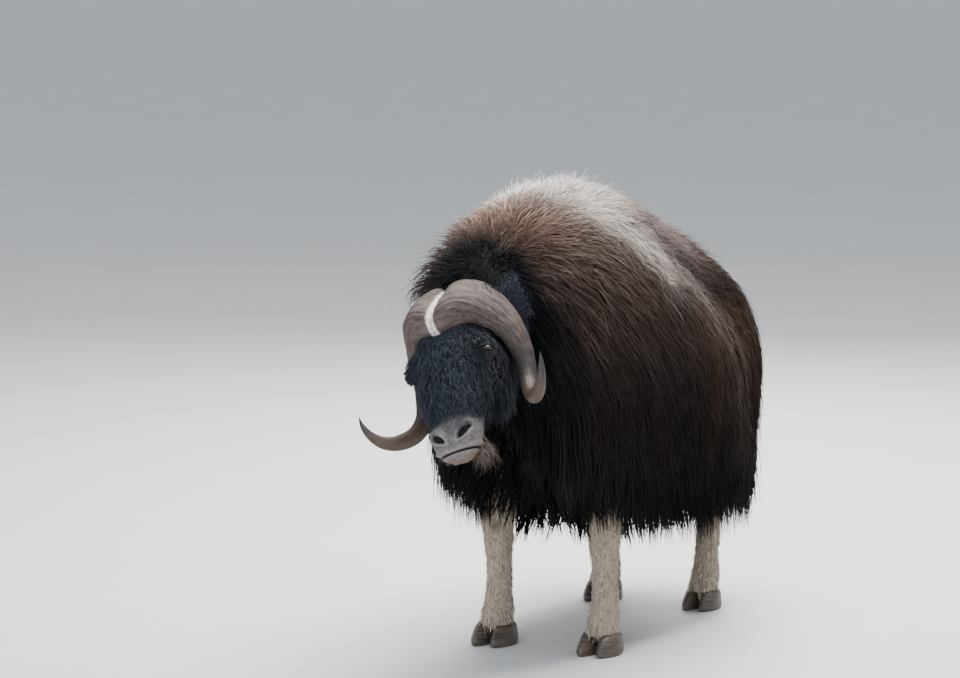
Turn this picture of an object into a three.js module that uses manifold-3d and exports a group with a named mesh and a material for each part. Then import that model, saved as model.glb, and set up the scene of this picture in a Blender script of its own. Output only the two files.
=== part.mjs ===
// A bull muskox standing with its head lowered, at life size, in millimetres.
// +X is the animal's left, +Y its rear and +Z up; the ground is Z = 0.
// The coat hangs as tapered locks from a core that follows the body.

import * as THREE from "three";
import { mergeVertices } from "three/addons/utils/BufferGeometryUtils.js";
import Module from "manifold-3d";

const wasm = await Module();
wasm.setup();

// Driving sizes
const JOIN_GAP = 0.3; // between parts that meet
const COAT = 45; // how far the locks' tips stand off the core
const SKIRT_HEM = 215; // height of the coat's lower edge over the ground
const ROOT_SINK = 14; // how deep a lock's root goes into the core
const HEAD_PLACE = new THREE.Vector3(-8, -715, 1000);
const HEAD_TURN = { yaw: -9, pitch: -26, roll: -24 }; // degrees
const EYE_RADIUS = 19;

// The body's core from the mane to the rump. Each station gives its place along Y,
// the heights of the back, the belly and the widest level, and the half width.
const TRUNK = [
  { y: -650, top: 1040, belly: 1040, wide: 1040, half: 0 },
  { y: -570, top: 1210, belly: 830, wide: 1035, half: 168 },
  { y: -450, top: 1282, belly: 690, wide: 1015, half: 225 },
  { y: -300, top: 1335, belly: 590, wide: 975, half: 282 },
  { y: -120, top: 1364, belly: 520, wide: 920, half: 318 },
  { y: 60, top: 1358, belly: 480, wide: 870, half: 335 },
  { y: 230, top: 1292, belly: 470, wide: 830, half: 342 },
  { y: 380, top: 1210, belly: 470, wide: 810, half: 340 },
  { y: 530, top: 1172, belly: 480, wide: 790, half: 326 },
  { y: 700, top: 1118, belly: 510, wide: 770, half: 300 },
  { y: 840, top: 1045, belly: 570, wide: 750, half: 252 },
  { y: 955, top: 760, belly: 760, wide: 760, half: 0 },
];

// Numbers

// A repeatable random draw from 0 to 1.
function drawer(seed) {
  let state = seed;
  return () => {
    state = (state + 0x6d2b79f5) | 0;
    let t = Math.imul(state ^ (state >>> 15), 1 | state);
    t = (t + Math.imul(t ^ (t >>> 7), 61 | t)) ^ t;
    return ((t ^ (t >>> 14)) >>> 0) / 4294967296;
  };
}

const mix = (a, b, t) => a + (b - a) * t;
const clamp = (v, low, high) => Math.min(high, Math.max(low, v));
const smooth = (t) => t * t * (3 - 2 * t);

// A value that passes smoothly through the stations without overshooting.
function along(stations, key, y) {
  const n = stations.length;
  const at = clamp(y, stations[0].y, stations[n - 1].y);
  let i = 0;
  while (i < n - 2 && at > stations[i + 1].y) i++;
  const slope = (k) => {
    const j = clamp(k, 0, n - 2);
    return (key(stations[j + 1]) - key(stations[j])) / (stations[j + 1].y - stations[j].y);
  };
  const rate = (k) => {
    if (k === 0 || k === n - 1) return slope(k === 0 ? 0 : n - 2);
    const before = slope(k - 1);
    const after = slope(k);
    return before * after <= 0 ? 0 : (2 * before * after) / (before + after);
  };
  const span = stations[i + 1].y - stations[i].y;
  const t = (at - stations[i].y) / span;
  const [a, b] = [key(stations[i]), key(stations[i + 1])];
  return (
    a * (1 + 2 * t) * (1 - t) ** 2 +
    b * t * t * (3 - 2 * t) +
    rate(i) * span * t * (1 - t) ** 2 -
    rate(i + 1) * span * t * t * (1 - t)
  );
}

// The core's section at y, as half sizes over and under its widest level.
function trunkAt(y, grow = 0) {
  const root = (key) => Math.sqrt(Math.max(0, along(TRUNK, key, y)));
  return {
    wide: along(TRUNK, (s) => s.wide, y),
    half: root((s) => s.half ** 2) + grow,
    up: root((s) => (s.top - s.wide) ** 2) + grow,
    down: root((s) => (s.wide - s.belly) ** 2) + grow,
  };
}

// Meshes and solids

function isFilled(solid) {
  return solid.volume() > 0;
}

// A closed mesh through rings of points; a ring of one point is a tip.
function loft(rings) {
  const points = [];
  const starts = rings.map((ring) => {
    const start = points.length;
    points.push(...ring);
    return start;
  });
  const index = [];
  const count = Math.max(...rings.map((ring) => ring.length));
  for (let r = 0; r + 1 < rings.length; r++) {
    const [low, high] = [starts[r], starts[r + 1]];
    for (let i = 0; i < count; i++) {
      const j = (i + 1) % count;
      if (rings[r].length > 1 && rings[r + 1].length > 1) {
        index.push(low + i, low + j, high + j, low + i, high + j, high + i);
      } else if (rings[r].length > 1) {
        index.push(low + i, low + j, high);
      } else {
        index.push(low, high + j, high + i);
      }
    }
  }
  for (const [r, flip] of [[0, true], [rings.length - 1, false]]) {
    for (let i = 1; i + 1 < rings[r].length; i++) {
      const face = [starts[r], starts[r] + i, starts[r] + i + 1];
      index.push(...(flip ? face.reverse() : face));
    }
  }
  const geometry = new THREE.BufferGeometry().setFromPoints(points);
  geometry.setIndex(index);
  return geometry;
}

// A closed geometry as a solid, whichever way its faces were wound.
function solidOf(geometry) {
  const bare = geometry.index ? geometry.toNonIndexed() : geometry.clone();
  for (const name of Object.keys(bare.attributes)) {
    if (name !== "position") bare.deleteAttribute(name);
  }
  const merged = mergeVertices(bare, 1e-3);
  const make = (triVerts) =>
    new wasm.Manifold(
      new wasm.Mesh({
        numProp: 3,
        vertProperties: new Float32Array(merged.attributes.position.array),
        triVerts,
      }),
    );
  const triVerts = new Uint32Array(merged.index.array);
  const made = make(triVerts);
  if (isFilled(made)) return made;
  for (let i = 0; i < triVerts.length; i += 3) {
    [triVerts[i + 1], triVerts[i + 2]] = [triVerts[i + 2], triVerts[i + 1]];
  }
  return make(triVerts);
}

const joined = (solids) => wasm.Manifold.union(solids);

// The largest closed surface of a solid, with points that all but touch made one.
const FINEST = 0.1;

function largest(solid) {
  const bodies = solidOf(geometryOf(solid.simplify(FINEST))).decompose();
  return bodies.reduce((best, body) => (body.volume() > best.volume() ? body : best));
}

function geometryOf(solid) {
  const mesh = solid.getMesh();
  const points = new Float32Array(mesh.numVert * 3);
  for (let i = 0; i < mesh.numVert; i++) {
    points.set(mesh.vertProperties.subarray(i * mesh.numProp, i * mesh.numProp + 3), i * 3);
  }
  const geometry = new THREE.BufferGeometry();
  geometry.setAttribute("position", new THREE.BufferAttribute(points, 3));
  geometry.setIndex(new THREE.BufferAttribute(new Uint32Array(mesh.triVerts), 1));
  geometry.computeVertexNormals();
  return geometry;
}

// An ellipse of points about a centre, in the plane of two half axes.
function ellipse(centre, a, b, count) {
  return Array.from({ length: count }, (_, i) => {
    const angle = (i / count) * Math.PI * 2;
    return centre
      .clone()
      .addScaledVector(a, Math.cos(angle))
      .addScaledVector(b, Math.sin(angle));
  });
}

const vec = (x, y, z) => new THREE.Vector3(x, y, z);

function ellipsoid(centre, radii, detail = [12, 8], turn = [0, 0, 0]) {
  const ball = new THREE.SphereGeometry(1, ...detail);
  const place = new THREE.Matrix4().compose(
    centre,
    new THREE.Quaternion().setFromEuler(new THREE.Euler(...turn.map(THREE.MathUtils.degToRad))),
    radii,
  );
  return solidOf(ball.applyMatrix4(place));
}

// The body's core

const TRUNK_RINGS = 20;
const TRUNK_SIDES = 22;

function trunkSolid(grow = 0) {
  const [front, rear] = [TRUNK[0], TRUNK[TRUNK.length - 1]];
  const rings = [[vec(0, front.y - grow, front.wide)]];
  for (let r = 1; r < TRUNK_RINGS; r++) {
    const share = (1 - Math.cos((r / TRUNK_RINGS) * Math.PI)) / 2;
    const y = mix(front.y, rear.y, mix(r / TRUNK_RINGS, share, 0.6));
    const s = trunkAt(y, grow);
    rings.push(
      Array.from({ length: TRUNK_SIDES }, (_, i) => {
        const angle = (i / TRUNK_SIDES) * Math.PI * 2;
        const rise = Math.cos(angle);
        return vec(s.half * Math.sin(angle), y, s.wide + rise * (rise > 0 ? s.up : s.down));
      }),
    );
  }
  rings.push([vec(0, rear.y + grow, rear.wide)]);
  return solidOf(loft(rings));
}

// How far a point is outside the core, and the way out.
function offTrunk(p) {
  const reach = (q) => {
    const s = trunkAt(q.y);
    const rise = q.z - s.wide;
    const level = Math.hypot(q.x / (s.half + 1), rise / ((rise > 0 ? s.up : s.down) + 1));
    const beyond = Math.max(0, TRUNK[0].y - q.y, q.y - TRUNK[TRUNK.length - 1].y);
    return level + beyond / 100;
  };
  const step = 2;
  const way = vec(
    reach(vec(p.x + step, p.y, p.z)) - reach(vec(p.x - step, p.y, p.z)),
    reach(vec(p.x, p.y + step, p.z)) - reach(vec(p.x, p.y - step, p.z)),
    reach(vec(p.x, p.y, p.z + step)) - reach(vec(p.x, p.y, p.z - step)),
  ).divideScalar(2 * step);
  const steep = Math.max(way.length(), 1e-4);
  return { far: clamp((reach(p) - 1) / steep, -200, 200), out: way.divideScalar(steep) };
}

// A point of the core's surface, from a place along the body and a turn from the
// back (0) through the side (0.5) to the belly (1).
function onTrunk(y, turn, side) {
  const s = trunkAt(y);
  const angle = turn * Math.PI;
  const rise = Math.cos(angle);
  return vec(side * s.half * Math.sin(angle), y, s.wide + rise * (rise > 0 ? s.up : s.down));
}

// Locks

// The way the coat lies at a point: down and back, and to the sides off the spine.
function lie(p, back) {
  const off = Math.exp(-((p.x / 90) ** 2)) * Math.max(0, 1.1 - back / 2);
  return vec(p.x < 0 ? -off : off, back, -1);
}

// The line that a lock follows: it lies on the body, then hangs free.
function combed(root, length, back, lift, hem) {
  const p = root.clone();
  const line = [];
  const steps = clamp(Math.round(length / LOCK_STEP), 3, 4);
  for (let i = 0; i <= steps; i++) {
    const share = i / steps;
    const stand = mix(-ROOT_SINK, lift, smooth(Math.min(1, share * 2)));
    const { far, out } = offTrunk(p);
    if (out.z > -0.15 || far < stand) p.addScaledVector(out, stand - far);
    line.push({ at: p.clone(), out: out.clone() });
    const way = lie(p, back);
    if (out.z > -0.15) way.addScaledVector(out, -way.dot(out));
    if (way.lengthSq() < 1e-6) way.set(0, 0, -1);
    p.addScaledVector(way.normalize(), length / steps);
    p.z = Math.max(p.z, hem);
  }
  return line;
}

// A flat, tapered lock along a line: wide by the root, thin, and pointed at its tip.
function lockSolid(line, width, thick) {
  const last = line.length - 1;
  const rings = line.map(({ at, out }, i) => {
    if (i === last) return [at];
    const ahead = line[i + 1].at.clone().sub(line[Math.max(0, i - 1)].at).normalize();
    const across = new THREE.Vector3().crossVectors(ahead, out).normalize();
    const face = new THREE.Vector3().crossVectors(across, ahead).normalize();
    const share = i / last;
    const wide = (width / 2) * Math.sin(Math.PI * mix(0.3, 0.97, share)) ** 0.8;
    const deep = (thick / 2) * mix(1, 0.45, share);
    return ellipse(at, face.multiplyScalar(deep), across.multiplyScalar(wide), LOCK_SIDES);
  });
  return solidOf(loft(rings));
}

// Rows of locks on the trunk, from the back down. Each row gives its turn round the
// body, its stretch along Y, the spacing, the locks' own sizes, how far they stand
// off, and how far they lean back.
const TORSO_ROWS = [
  { turn: 0.03, from: -290, to: 780, pitch: 150, length: 280, width: 150, lift: 36, back: 1.6 },
  { turn: 0.13, from: -265, to: 860, pitch: 150, length: 320, width: 190, lift: 42, back: 0.5 },
  { turn: 0.27, from: -280, to: 870, pitch: 145, length: 360, width: 185, lift: 45, back: 0.22 },
  { turn: 0.41, from: -265, to: 890, pitch: 145, length: 470, width: 180, lift: 45, back: 0.1 },
  { turn: 0.52, from: -280, to: 890, pitch: 130, length: 560, width: 160, lift: 45, back: 0.04 },
  { turn: 0.68, from: -210, to: 760, pitch: 160, length: 330, width: 170, lift: 36, back: 0 },
];
const RUMP_RINGS = [
  { y: 900, turns: [0.08, 0.32], back: 0.15, length: 330, width: 150 },
  { y: 935, turns: [0.2, 0.55], back: 0.15, length: 480, width: 140 },
  { y: 915, turns: [0.75], back: 0.1, length: 360, width: 140 },
];
const CHEST_RINGS = [
  { y: -610, turns: [0.62, 0.9], back: 0.1, length: 330, width: 130 },
  { y: -560, turns: [0.78, 0.96], back: 0.1, length: 330, width: 130 },
];
const NECK_ROWS = [
  { turn: 0.04, from: -545, to: -400, pitch: 150, length: 190, width: 190, lift: 60, back: -0.3 },
  { turn: 0.18, from: -575, to: -400, pitch: 120, length: 210, width: 160, lift: 55, back: 0 },
  { turn: 0.32, from: -580, to: -400, pitch: 120, length: 250, width: 160, lift: 36, back: 0.1 },
  { turn: 0.47, from: -600, to: -400, pitch: 120, length: 380, width: 160, lift: 34, back: 0 },
  { turn: 0.64, from: -575, to: -400, pitch: 120, length: 400, width: 150, lift: 34, back: 0 },
  { turn: 0.86, from: -550, to: -400, pitch: 110, length: 340, width: 150, lift: 30, back: 0 },
];
const LOCK_THICK = 26;
const LOCK_STEP = 110; // about how far a lock runs between its sections
const LOCK_SIDES = 3;

// One lock per place of the row, each a little different, on both sides.
function rowOfLocks(row, draw) {
  const count = Math.round((row.to - row.from) / row.pitch) + 1;
  const locks = [];
  for (const side of [-1, 1]) {
    for (let i = 0; i < count; i++) {
      const y = mix(row.from, row.to, i / (count - 1)) + (draw() - 0.5) * row.pitch * 0.3;
      const turn = row.turn + (draw() - 0.5) * 0.05;
      const length = row.length * mix(0.88, 1.12, draw());
      const lift = row.lift * mix(0.9, 1.1, draw());
      const line = combed(onTrunk(y, turn, side), length, row.back, lift, hemAt(y) + draw() * 40);
      locks.push(lockSolid(line, row.width * mix(0.9, 1.1, draw()), LOCK_THICK));
    }
  }
  return locks;
}

// Locks side by side round the body's front or rear end.
function ringOfLocks({ y, turns, back, length, width }, draw) {
  return turns.flatMap((turn) =>
    [-1, 1].map((side) => {
      const long = length * mix(0.9, 1.1, draw());
      const line = combed(onTrunk(y, turn, side), long, back, COAT, hemAt(y));
      return lockSolid(line, width, LOCK_THICK);
    }),
  );
}

// The coat's lower edge is higher under the chest and behind the hind legs.
function hemAt(y) {
  const chest = 110 * smooth(clamp((-200 - y) / 350, 0, 1));
  const rump = 60 * smooth(clamp((y - 700) / 200, 0, 1));
  return SKIRT_HEM + chest + rump;
}

function torsoLocks() {
  const draw = drawer(15);
  const locks = TORSO_ROWS.flatMap((row) => rowOfLocks(row, draw));
  return [...locks, ...RUMP_RINGS.flatMap((ring) => ringOfLocks(ring, draw))];
}

function neckLocks() {
  const draw = drawer(27);
  const locks = NECK_ROWS.flatMap((row) => rowOfLocks(row, draw));
  return [...locks, ...CHEST_RINGS.flatMap((ring) => ringOfLocks(ring, draw))];
}

// Head, in its own frame: the nose points down and the face looks to -Y.

// Level sections, with the places of the face's line and the throat's line along Y.
const HEAD = [
  { z: 140, face: 10, throat: 110, half: 50 },
  { z: 105, face: -45, throat: 150, half: 88 },
  { z: 50, face: -92, throat: 175, half: 112 },
  { z: 0, face: -110, throat: 180, half: 124 },
  { z: -60, face: -118, throat: 160, half: 127 },
  { z: -120, face: -118, throat: 118, half: 120 },
  { z: -180, face: -114, throat: 72, half: 104 },
  { z: -240, face: -108, throat: 32, half: 88 },
  { z: -285, face: -106, throat: 10, half: 82 },
  { z: -320, face: -105, throat: 0, half: 80 },
  { z: -350, face: -97, throat: -6, half: 72 },
  { z: -375, face: -82, throat: -12, half: 56 },
  { z: -395, face: -62, throat: -26, half: 32 },
];
const HEAD_SIDES = 18;
const EYE = vec(124, -62, -88);
const EYE_DETAIL = [10, 8];
const EYE_WAY = vec(0.84, -0.54, 0.02).normalize();

const mirrored = (v, side) => vec(v.x * side, v.y, v.z);

function headForm(grow = 0) {
  const rings = HEAD.map(({ z, face, throat, half }) =>
    ellipse(
      vec(0, (face + throat) / 2, z),
      vec(half + grow, 0, 0),
      vec(0, (throat - face) / 2 + grow, 0),
      HEAD_SIDES,
    ),
  );
  const top = HEAD[0];
  const chin = HEAD[HEAD.length - 1];
  rings.unshift([vec(0, (top.face + top.throat) / 2, top.z + 8 + grow)]);
  rings.push([vec(0, (chin.face + chin.throat) / 2, chin.z - 6 - grow)]);
  const swell = (place, size, detail) =>
    [-1, 1].map((side) => ellipsoid(mirrored(place, side), size.clone().addScalar(grow), detail));
  return joined([
    solidOf(loft(rings)),
    ...swell(vec(86, -44, -78), vec(50, 44, 62), [10, 7]), // brows
    ...swell(vec(74, 36, -120), vec(47, 60, 90), [10, 6]), // cheeks
    ...swell(vec(34, -74, -318), vec(42, 38, 40), [10, 6]), // nostril wings
    ...swell(vec(38, -52, -352), vec(36, 40, 24), [10, 6]), // upper lips
  ]);
}

// A ring of skin round each eye.
function lid(side) {
  const ring = new THREE.TorusGeometry(EYE_RADIUS + 2, 5, 4, 10);
  const turn = new THREE.Quaternion().setFromUnitVectors(vec(0, 0, 1), mirrored(EYE_WAY, side));
  const place = mirrored(EYE, side).addScaledVector(mirrored(EYE_WAY, side), 5);
  return solidOf(ring.applyMatrix4(new THREE.Matrix4().compose(place, turn, vec(1.1, 0.9, 1))));
}

function headSolid() {
  const cuts = [-1, 1].flatMap((side) => [
    ellipsoid(mirrored(EYE, side), vec(1, 1, 1).multiplyScalar(EYE_RADIUS + JOIN_GAP), EYE_DETAIL),
    ellipsoid(vec(side * 44, -104, -317), vec(10, 20, 15), [8, 6], [0, 41 * side, 20 * side]),
    ellipsoid(vec(side * 24, -110, -340), vec(6, 18, 21), [8, 6], [0, 41 * side, 10 * side]),
  ]);
  const mouth = ellipsoid(vec(0, -70, -366), vec(86, 78, 3.2), [16, 4], [-14, 0, 0]);
  const whole = joined([headForm(), lid(-1), lid(1)]);
  return whole.subtract(joined([...cuts, mouth]));
}

// Horns, in the head's frame, for the left side: each station gives its centre, the
// way the horn is broad, and its broad and thin half sizes.
const HORN = [
  { at: [7, -57, 67], broad: [0, 0.7, 0.71], wide: 112, thin: 38 },
  { at: [26, -55, 84], broad: [0, 0.7, 0.71], wide: 113, thin: 48 },
  { at: [62, -42, 92], broad: [0.1, 0.72, 0.68], wide: 98, thin: 51 },
  { at: [100, -18, 80], broad: [0.25, 0.8, 0.55], wide: 82, thin: 47 },
  { at: [134, 20, 48], broad: [0.35, 0.9, 0.3], wide: 66, thin: 38 },
  { at: [155, 54, 2], broad: [0.3, 0.95, 0.1], wide: 50, thin: 31 },
  { at: [165, 78, -52], broad: [0.2, 0.98, 0], wide: 40, thin: 28 },
  { at: [170, 84, -108], broad: [0.1, 0.99, 0], wide: 33, thin: 26 },
  { at: [176, 76, -162], broad: [0, 0.95, -0.2], wide: 29, thin: 24 },
  { at: [194, 50, -210], broad: [0, 0.8, -0.5], wide: 26, thin: 22 },
  { at: [226, 12, -238], broad: [0, 0.5, -0.8], wide: 23, thin: 20 },
  { at: [259, -22, -240], broad: [0, 0.1, -1], wide: 19, thin: 17 },
  { at: [284, -50, -220], broad: [0, -0.4, -0.9], wide: 14, thin: 12.5 },
  { at: [298, -68, -190], broad: [0, -0.7, -0.6], wide: 7.5, thin: 7 },
];
const HORN_TIP = vec(303, -76, -160);
const HORN_SIDES = 12;

function hornForm(side, grow = 0) {
  const centres = [...HORN.map((s) => vec(...s.at)), HORN_TIP];
  const rings = HORN.map((s, i) => {
    const ahead = centres[i + 1].clone().sub(centres[Math.max(0, i - 1)]).normalize();
    const broad = vec(...s.broad);
    broad.addScaledVector(ahead, -broad.dot(ahead)).normalize();
    const thin = new THREE.Vector3().crossVectors(ahead, broad);
    return ellipse(
      centres[i],
      broad.multiplyScalar(s.wide + grow),
      thin.multiplyScalar(s.thin + grow),
      HORN_SIDES,
    ).map((p) => mirrored(p, side));
  });
  return solidOf(loft([...rings, [mirrored(HORN_TIP, side)]]));
}

// Ears, in the head's frame: a cup that opens to the front and side.
const EAR_ROOT = vec(150, 95, 42);
const EAR_TIP = vec(198, 27, 182);
const EAR_TIP_BACK = vec(175, 90, 165); // the right ear is laid back
const EAR_WIDE = 34;
const EAR_CUP = [20, 12, 46]; // half sizes of the hollow

function earForm(side, grow = 0) {
  const tip = side > 0 ? EAR_TIP : EAR_TIP_BACK;
  const way = tip.clone().sub(EAR_ROOT);
  const long = way.length();
  way.normalize();
  const across = new THREE.Vector3().crossVectors(way, vec(0.45, -0.89, 0)).normalize();
  const open = new THREE.Vector3().crossVectors(across, way).normalize();
  const rings = [0, 0.2, 0.42, 0.64, 0.84].map((share) => {
    const wide = EAR_WIDE * (0.55 + 0.45 * Math.sin(Math.PI * Math.min(1, share * 1.25 + 0.1)));
    const middle = EAR_ROOT.clone().addScaledVector(way, share * long);
    return ellipse(
      middle,
      across.clone().multiplyScalar(wide * (1 - share * 0.35) + grow),
      open.clone().multiplyScalar(15 * (1 - share * 0.5) + grow),
      10,
    ).map((p) => mirrored(p, side));
  });
  const body = solidOf(loft([...rings, [mirrored(tip, side)]]));
  if (grow > 0) return body;
  const basis = [across, open, way].map((v) => mirrored(v, side));
  const middle = EAR_ROOT.clone().addScaledVector(way, long * 0.56).addScaledVector(open, 14);
  const cup = new THREE.SphereGeometry(1, 10, 8).scale(...EAR_CUP);
  cup.applyMatrix4(new THREE.Matrix4().makeBasis(...basis));
  return body.subtract(solidOf(cup.translate(...mirrored(middle, side))));
}

// Legs: stations down each leg, with the centre along Y and half sizes.

const FRONT_LEG = {
  x: 175,
  stations: [
    { z: 760, y: -70, wide: 78, deep: 105, x: 0 },
    { z: 560, y: -85, wide: 66, deep: 84, x: 0 },
    { z: 430, y: -92, wide: 52, deep: 60, x: 2 },
    { z: 370, y: -96, wide: 49, deep: 55, x: 2 },
    { z: 320, y: -94, wide: 44, deep: 48, x: 0 },
    { z: 240, y: -88, wide: 38, deep: 41, x: 0 },
    { z: 160, y: -88, wide: 38, deep: 42, x: 0 },
    { z: 115, y: -94, wide: 44, deep: 49, x: 0 },
    { z: 78, y: -104, wide: 47, deep: 50, x: 0 },
    { z: 52, y: -112, wide: 50, deep: 54, x: 0 },
  ],
  claw: { y: -128, long: 74, wide: 33, apart: 34, high: 62 },
};
const HIND_LEG = {
  x: 170,
  stations: [
    { z: 780, y: 620, wide: 88, deep: 150, x: 15 },
    { z: 600, y: 640, wide: 76, deep: 112, x: 12 },
    { z: 500, y: 690, wide: 58, deep: 76, x: 6 },
    { z: 420, y: 728, wide: 48, deep: 56, x: 2 },
    { z: 350, y: 726, wide: 42, deep: 48, x: 0 },
    { z: 260, y: 706, wide: 36, deep: 42, x: 0 },
    { z: 165, y: 690, wide: 36, deep: 41, x: 0 },
    { z: 112, y: 682, wide: 41, deep: 46, x: 0 },
    { z: 74, y: 670, wide: 44, deep: 47, x: 0 },
    { z: 50, y: 662, wide: 46, deep: 50, x: 0 },
  ],
  claw: { y: 648, long: 66, wide: 29, apart: 30, high: 58 },
};
const LEG_SIDES = 10;
const CLAW_SIDES = 10;

function legForm(leg, side, grow = 0) {
  const rings = leg.stations.map((s) => {
    const centre = vec(side * (leg.x + s.x), s.y, s.z);
    return ellipse(centre, vec(s.wide + grow, 0, 0), vec(0, s.deep + grow, 0), LEG_SIDES);
  });
  return solidOf(loft(rings));
}

// One claw of a hoof: flat below, rounded in front, cut off by the leg above.
function clawForm(leg, side, inner, grow = 0) {
  const { y, long, wide, apart, high } = leg.claw;
  const centre = vec(side * leg.x + inner * apart, y, 0);
  const levels = [
    { z: 0, size: 0.93, back: 0 },
    { z: high * 0.18, size: 1, back: 0 },
    { z: high * 0.6, size: 0.9, back: 6 },
    { z: high, size: 0.66, back: 16 },
  ];
  const rings = levels.map(({ z, size, back }) =>
    Array.from({ length: CLAW_SIDES }, (_, i) => {
      const angle = (i / CLAW_SIDES) * Math.PI * 2;
      const ahead = Math.cos(angle);
      const slim = 1 - 0.32 * Math.max(0, ahead) ** 2;
      const across = (wide * size - JOIN_GAP + grow) * Math.sin(angle) * slim;
      return vec(
        centre.x + across - inner * 3 * Math.max(0, ahead),
        centre.y - (long * size + grow) * ahead + back,
        z,
      );
    }),
  );
  return solidOf(loft(rings));
}

// Tail: short, and hidden by the coat.
const TAIL = [
  { z: 905, y: 930, half: 34 },
  { z: 860, y: 948, half: 34 },
  { z: 800, y: 966, half: 30 },
  { z: 740, y: 974, half: 20 },
];
const TAIL_TIP = vec(0, 976, 705);

function tailForm(grow = 0) {
  const rings = TAIL.map(({ z, y, half }) =>
    ellipse(vec(0, y, z), vec(half + grow, 0, 0), vec(0, half * 0.75 + grow, 0), 10),
  );
  return solidOf(loft([...rings, [TAIL_TIP.clone().add(vec(0, 0, -grow))]]));
}

// Assembly

const NECK_PLANE = -335;
const BLOCK = 2400; // half size of a block that stands for a half space

// All that lies beyond a plane across an axis, on one side of it.
function beyond(axis, edge, side) {
  const block = new THREE.BoxGeometry(2 * BLOCK, 2 * BLOCK, 2 * BLOCK);
  const centre = vec(0, 0, 0);
  centre[axis] = edge + side * (BLOCK + JOIN_GAP / 2);
  return solidOf(block.translate(...centre));
}

const headMatrix = new THREE.Matrix4().compose(
  HEAD_PLACE,
  new THREE.Quaternion().setFromEuler(
    new THREE.Euler(
      THREE.MathUtils.degToRad(HEAD_TURN.pitch),
      THREE.MathUtils.degToRad(HEAD_TURN.roll),
      THREE.MathUtils.degToRad(HEAD_TURN.yaw),
      "ZXY",
    ),
  ),
  vec(1, 1, 1),
);
const onBody = (solid) => solid.transform(headMatrix.elements);

function build() {
  const sides = { right: -1, left: 1 };
  const legs = { front: FRONT_LEG, hind: HIND_LEG };
  const nodes = {};
  const eyes = {};
  for (const [name, side] of Object.entries(sides)) {
    eyes[name] = ellipsoid(mirrored(EYE, side), vec(1, 1, 1).multiplyScalar(EYE_RADIUS), EYE_DETAIL);
    const horn = hornForm(side).intersect(beyond("x", 0, side));
    nodes[`horn_${name}`] = onBody(largest(horn.subtract(headForm(JOIN_GAP))));
    const beside = joined([headForm(JOIN_GAP), hornForm(side, JOIN_GAP)]);
    nodes[`ear_${name}`] = onBody(largest(earForm(side).subtract(beside)));
    nodes[`eye_${name}`] = onBody(eyes[name]);
  }
  nodes.head = onBody(largest(headSolid()));

  const headAndHorns = [
    headForm(JOIN_GAP),
    ...Object.values(sides).flatMap((side) => [hornForm(side, JOIN_GAP), earForm(side, JOIN_GAP)]),
  ].map(onBody);
  const limbs = [tailForm(JOIN_GAP)];
  const core = trunkSolid();
  const rind = trunkSolid(JOIN_GAP);
  for (const [place, leg] of Object.entries(legs)) {
    for (const [name, side] of Object.entries(sides)) {
      limbs.push(legForm(leg, side, JOIN_GAP));
      const claws = [-1, 1].map((inner) => clawForm(leg, side, inner, JOIN_GAP));
      nodes[`leg_${place}_${name}`] = largest(legForm(leg, side).subtract(joined([rind, ...claws])));
      nodes[`claw_${place}_${name}_inner`] = largest(clawForm(leg, side, -side));
      nodes[`claw_${place}_${name}_outer`] = largest(clawForm(leg, side, side));
    }
  }
  nodes.tail = largest(tailForm().subtract(rind));
  const coat = (locks) => joined([core, joined(locks)]).subtract(joined(limbs));
  const trunkPart = (locks, side) =>
    largest(coat(locks).intersect(beyond("y", NECK_PLANE, side)).subtract(joined(headAndHorns)));
  nodes.neck = trunkPart(neckLocks(), -1);
  nodes.torso = trunkPart(torsoLocks(), 1);
  return nodes;
}

// Colours: [red, green, blue], roughness
const COLOURS = {
  coat: [0x3a2a22, 0.95],
  face: [0x15151a, 0.9],
  leg: [0x9a8c78, 0.95],
  horn: [0x8a7360, 0.55],
  claw: [0x2a2420, 0.5],
  eye: [0x120c0a, 0.1],
};

function colourOf(name) {
  const kind = ["claw", "leg", "horn", "eye"].find((word) => name.startsWith(word));
  if (kind) return kind;
  return name === "head" || name.startsWith("ear") ? "face" : "coat";
}

const muskox = new THREE.Group();
for (const [name, solid] of Object.entries(build())) {
  const [color, roughness] = COLOURS[colourOf(name)];
  const mesh = new THREE.Mesh(
    geometryOf(solid),
    new THREE.MeshStandardMaterial({ color, roughness, metalness: 0 }),
  );
  mesh.name = name;
  muskox.add(mesh);
}
// The origin is on the ground, under the middle of the whole animal.
const reach = new THREE.Box3().setFromObject(muskox);
muskox.position.set(-(reach.min.x + reach.max.x) / 2, -(reach.min.y + reach.max.y) / 2, -reach.min.z);

export default muskox;
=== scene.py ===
"""Dresses a life-size bull muskox: one skin, horns, eyes, claws, a long coat and short fur.

Sizes are in metres. +X is the animal's left, +Y its rear and +Z up. Places on the body
are given from a point on the ground under it, and to_frame moves them to the frame.
The head has a frame of its own: its nose points down and its face looks to -Y.
"""

import math
from itertools import product

import bpy
import numpy as np
from mathutils import Matrix, Vector
from mathutils.kdtree import KDTree


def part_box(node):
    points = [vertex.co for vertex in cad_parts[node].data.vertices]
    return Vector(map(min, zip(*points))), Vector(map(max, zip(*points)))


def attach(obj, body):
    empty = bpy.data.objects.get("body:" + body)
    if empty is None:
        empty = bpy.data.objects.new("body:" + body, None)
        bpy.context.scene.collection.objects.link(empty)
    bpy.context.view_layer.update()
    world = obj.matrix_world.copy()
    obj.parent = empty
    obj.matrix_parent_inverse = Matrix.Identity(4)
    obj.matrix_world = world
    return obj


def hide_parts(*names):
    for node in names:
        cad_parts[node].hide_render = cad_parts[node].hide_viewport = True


bl_info = {
    "name": "Museum Muskox",
    "version": (1, 0, 0),
    "blender": (4, 5, 0),
    "location": "View3D > Sidebar > Muskox",
    "description": "Dresses the muskox frame with skin, horns, eyes, claws and coat",
    "category": "Object",
}

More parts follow.
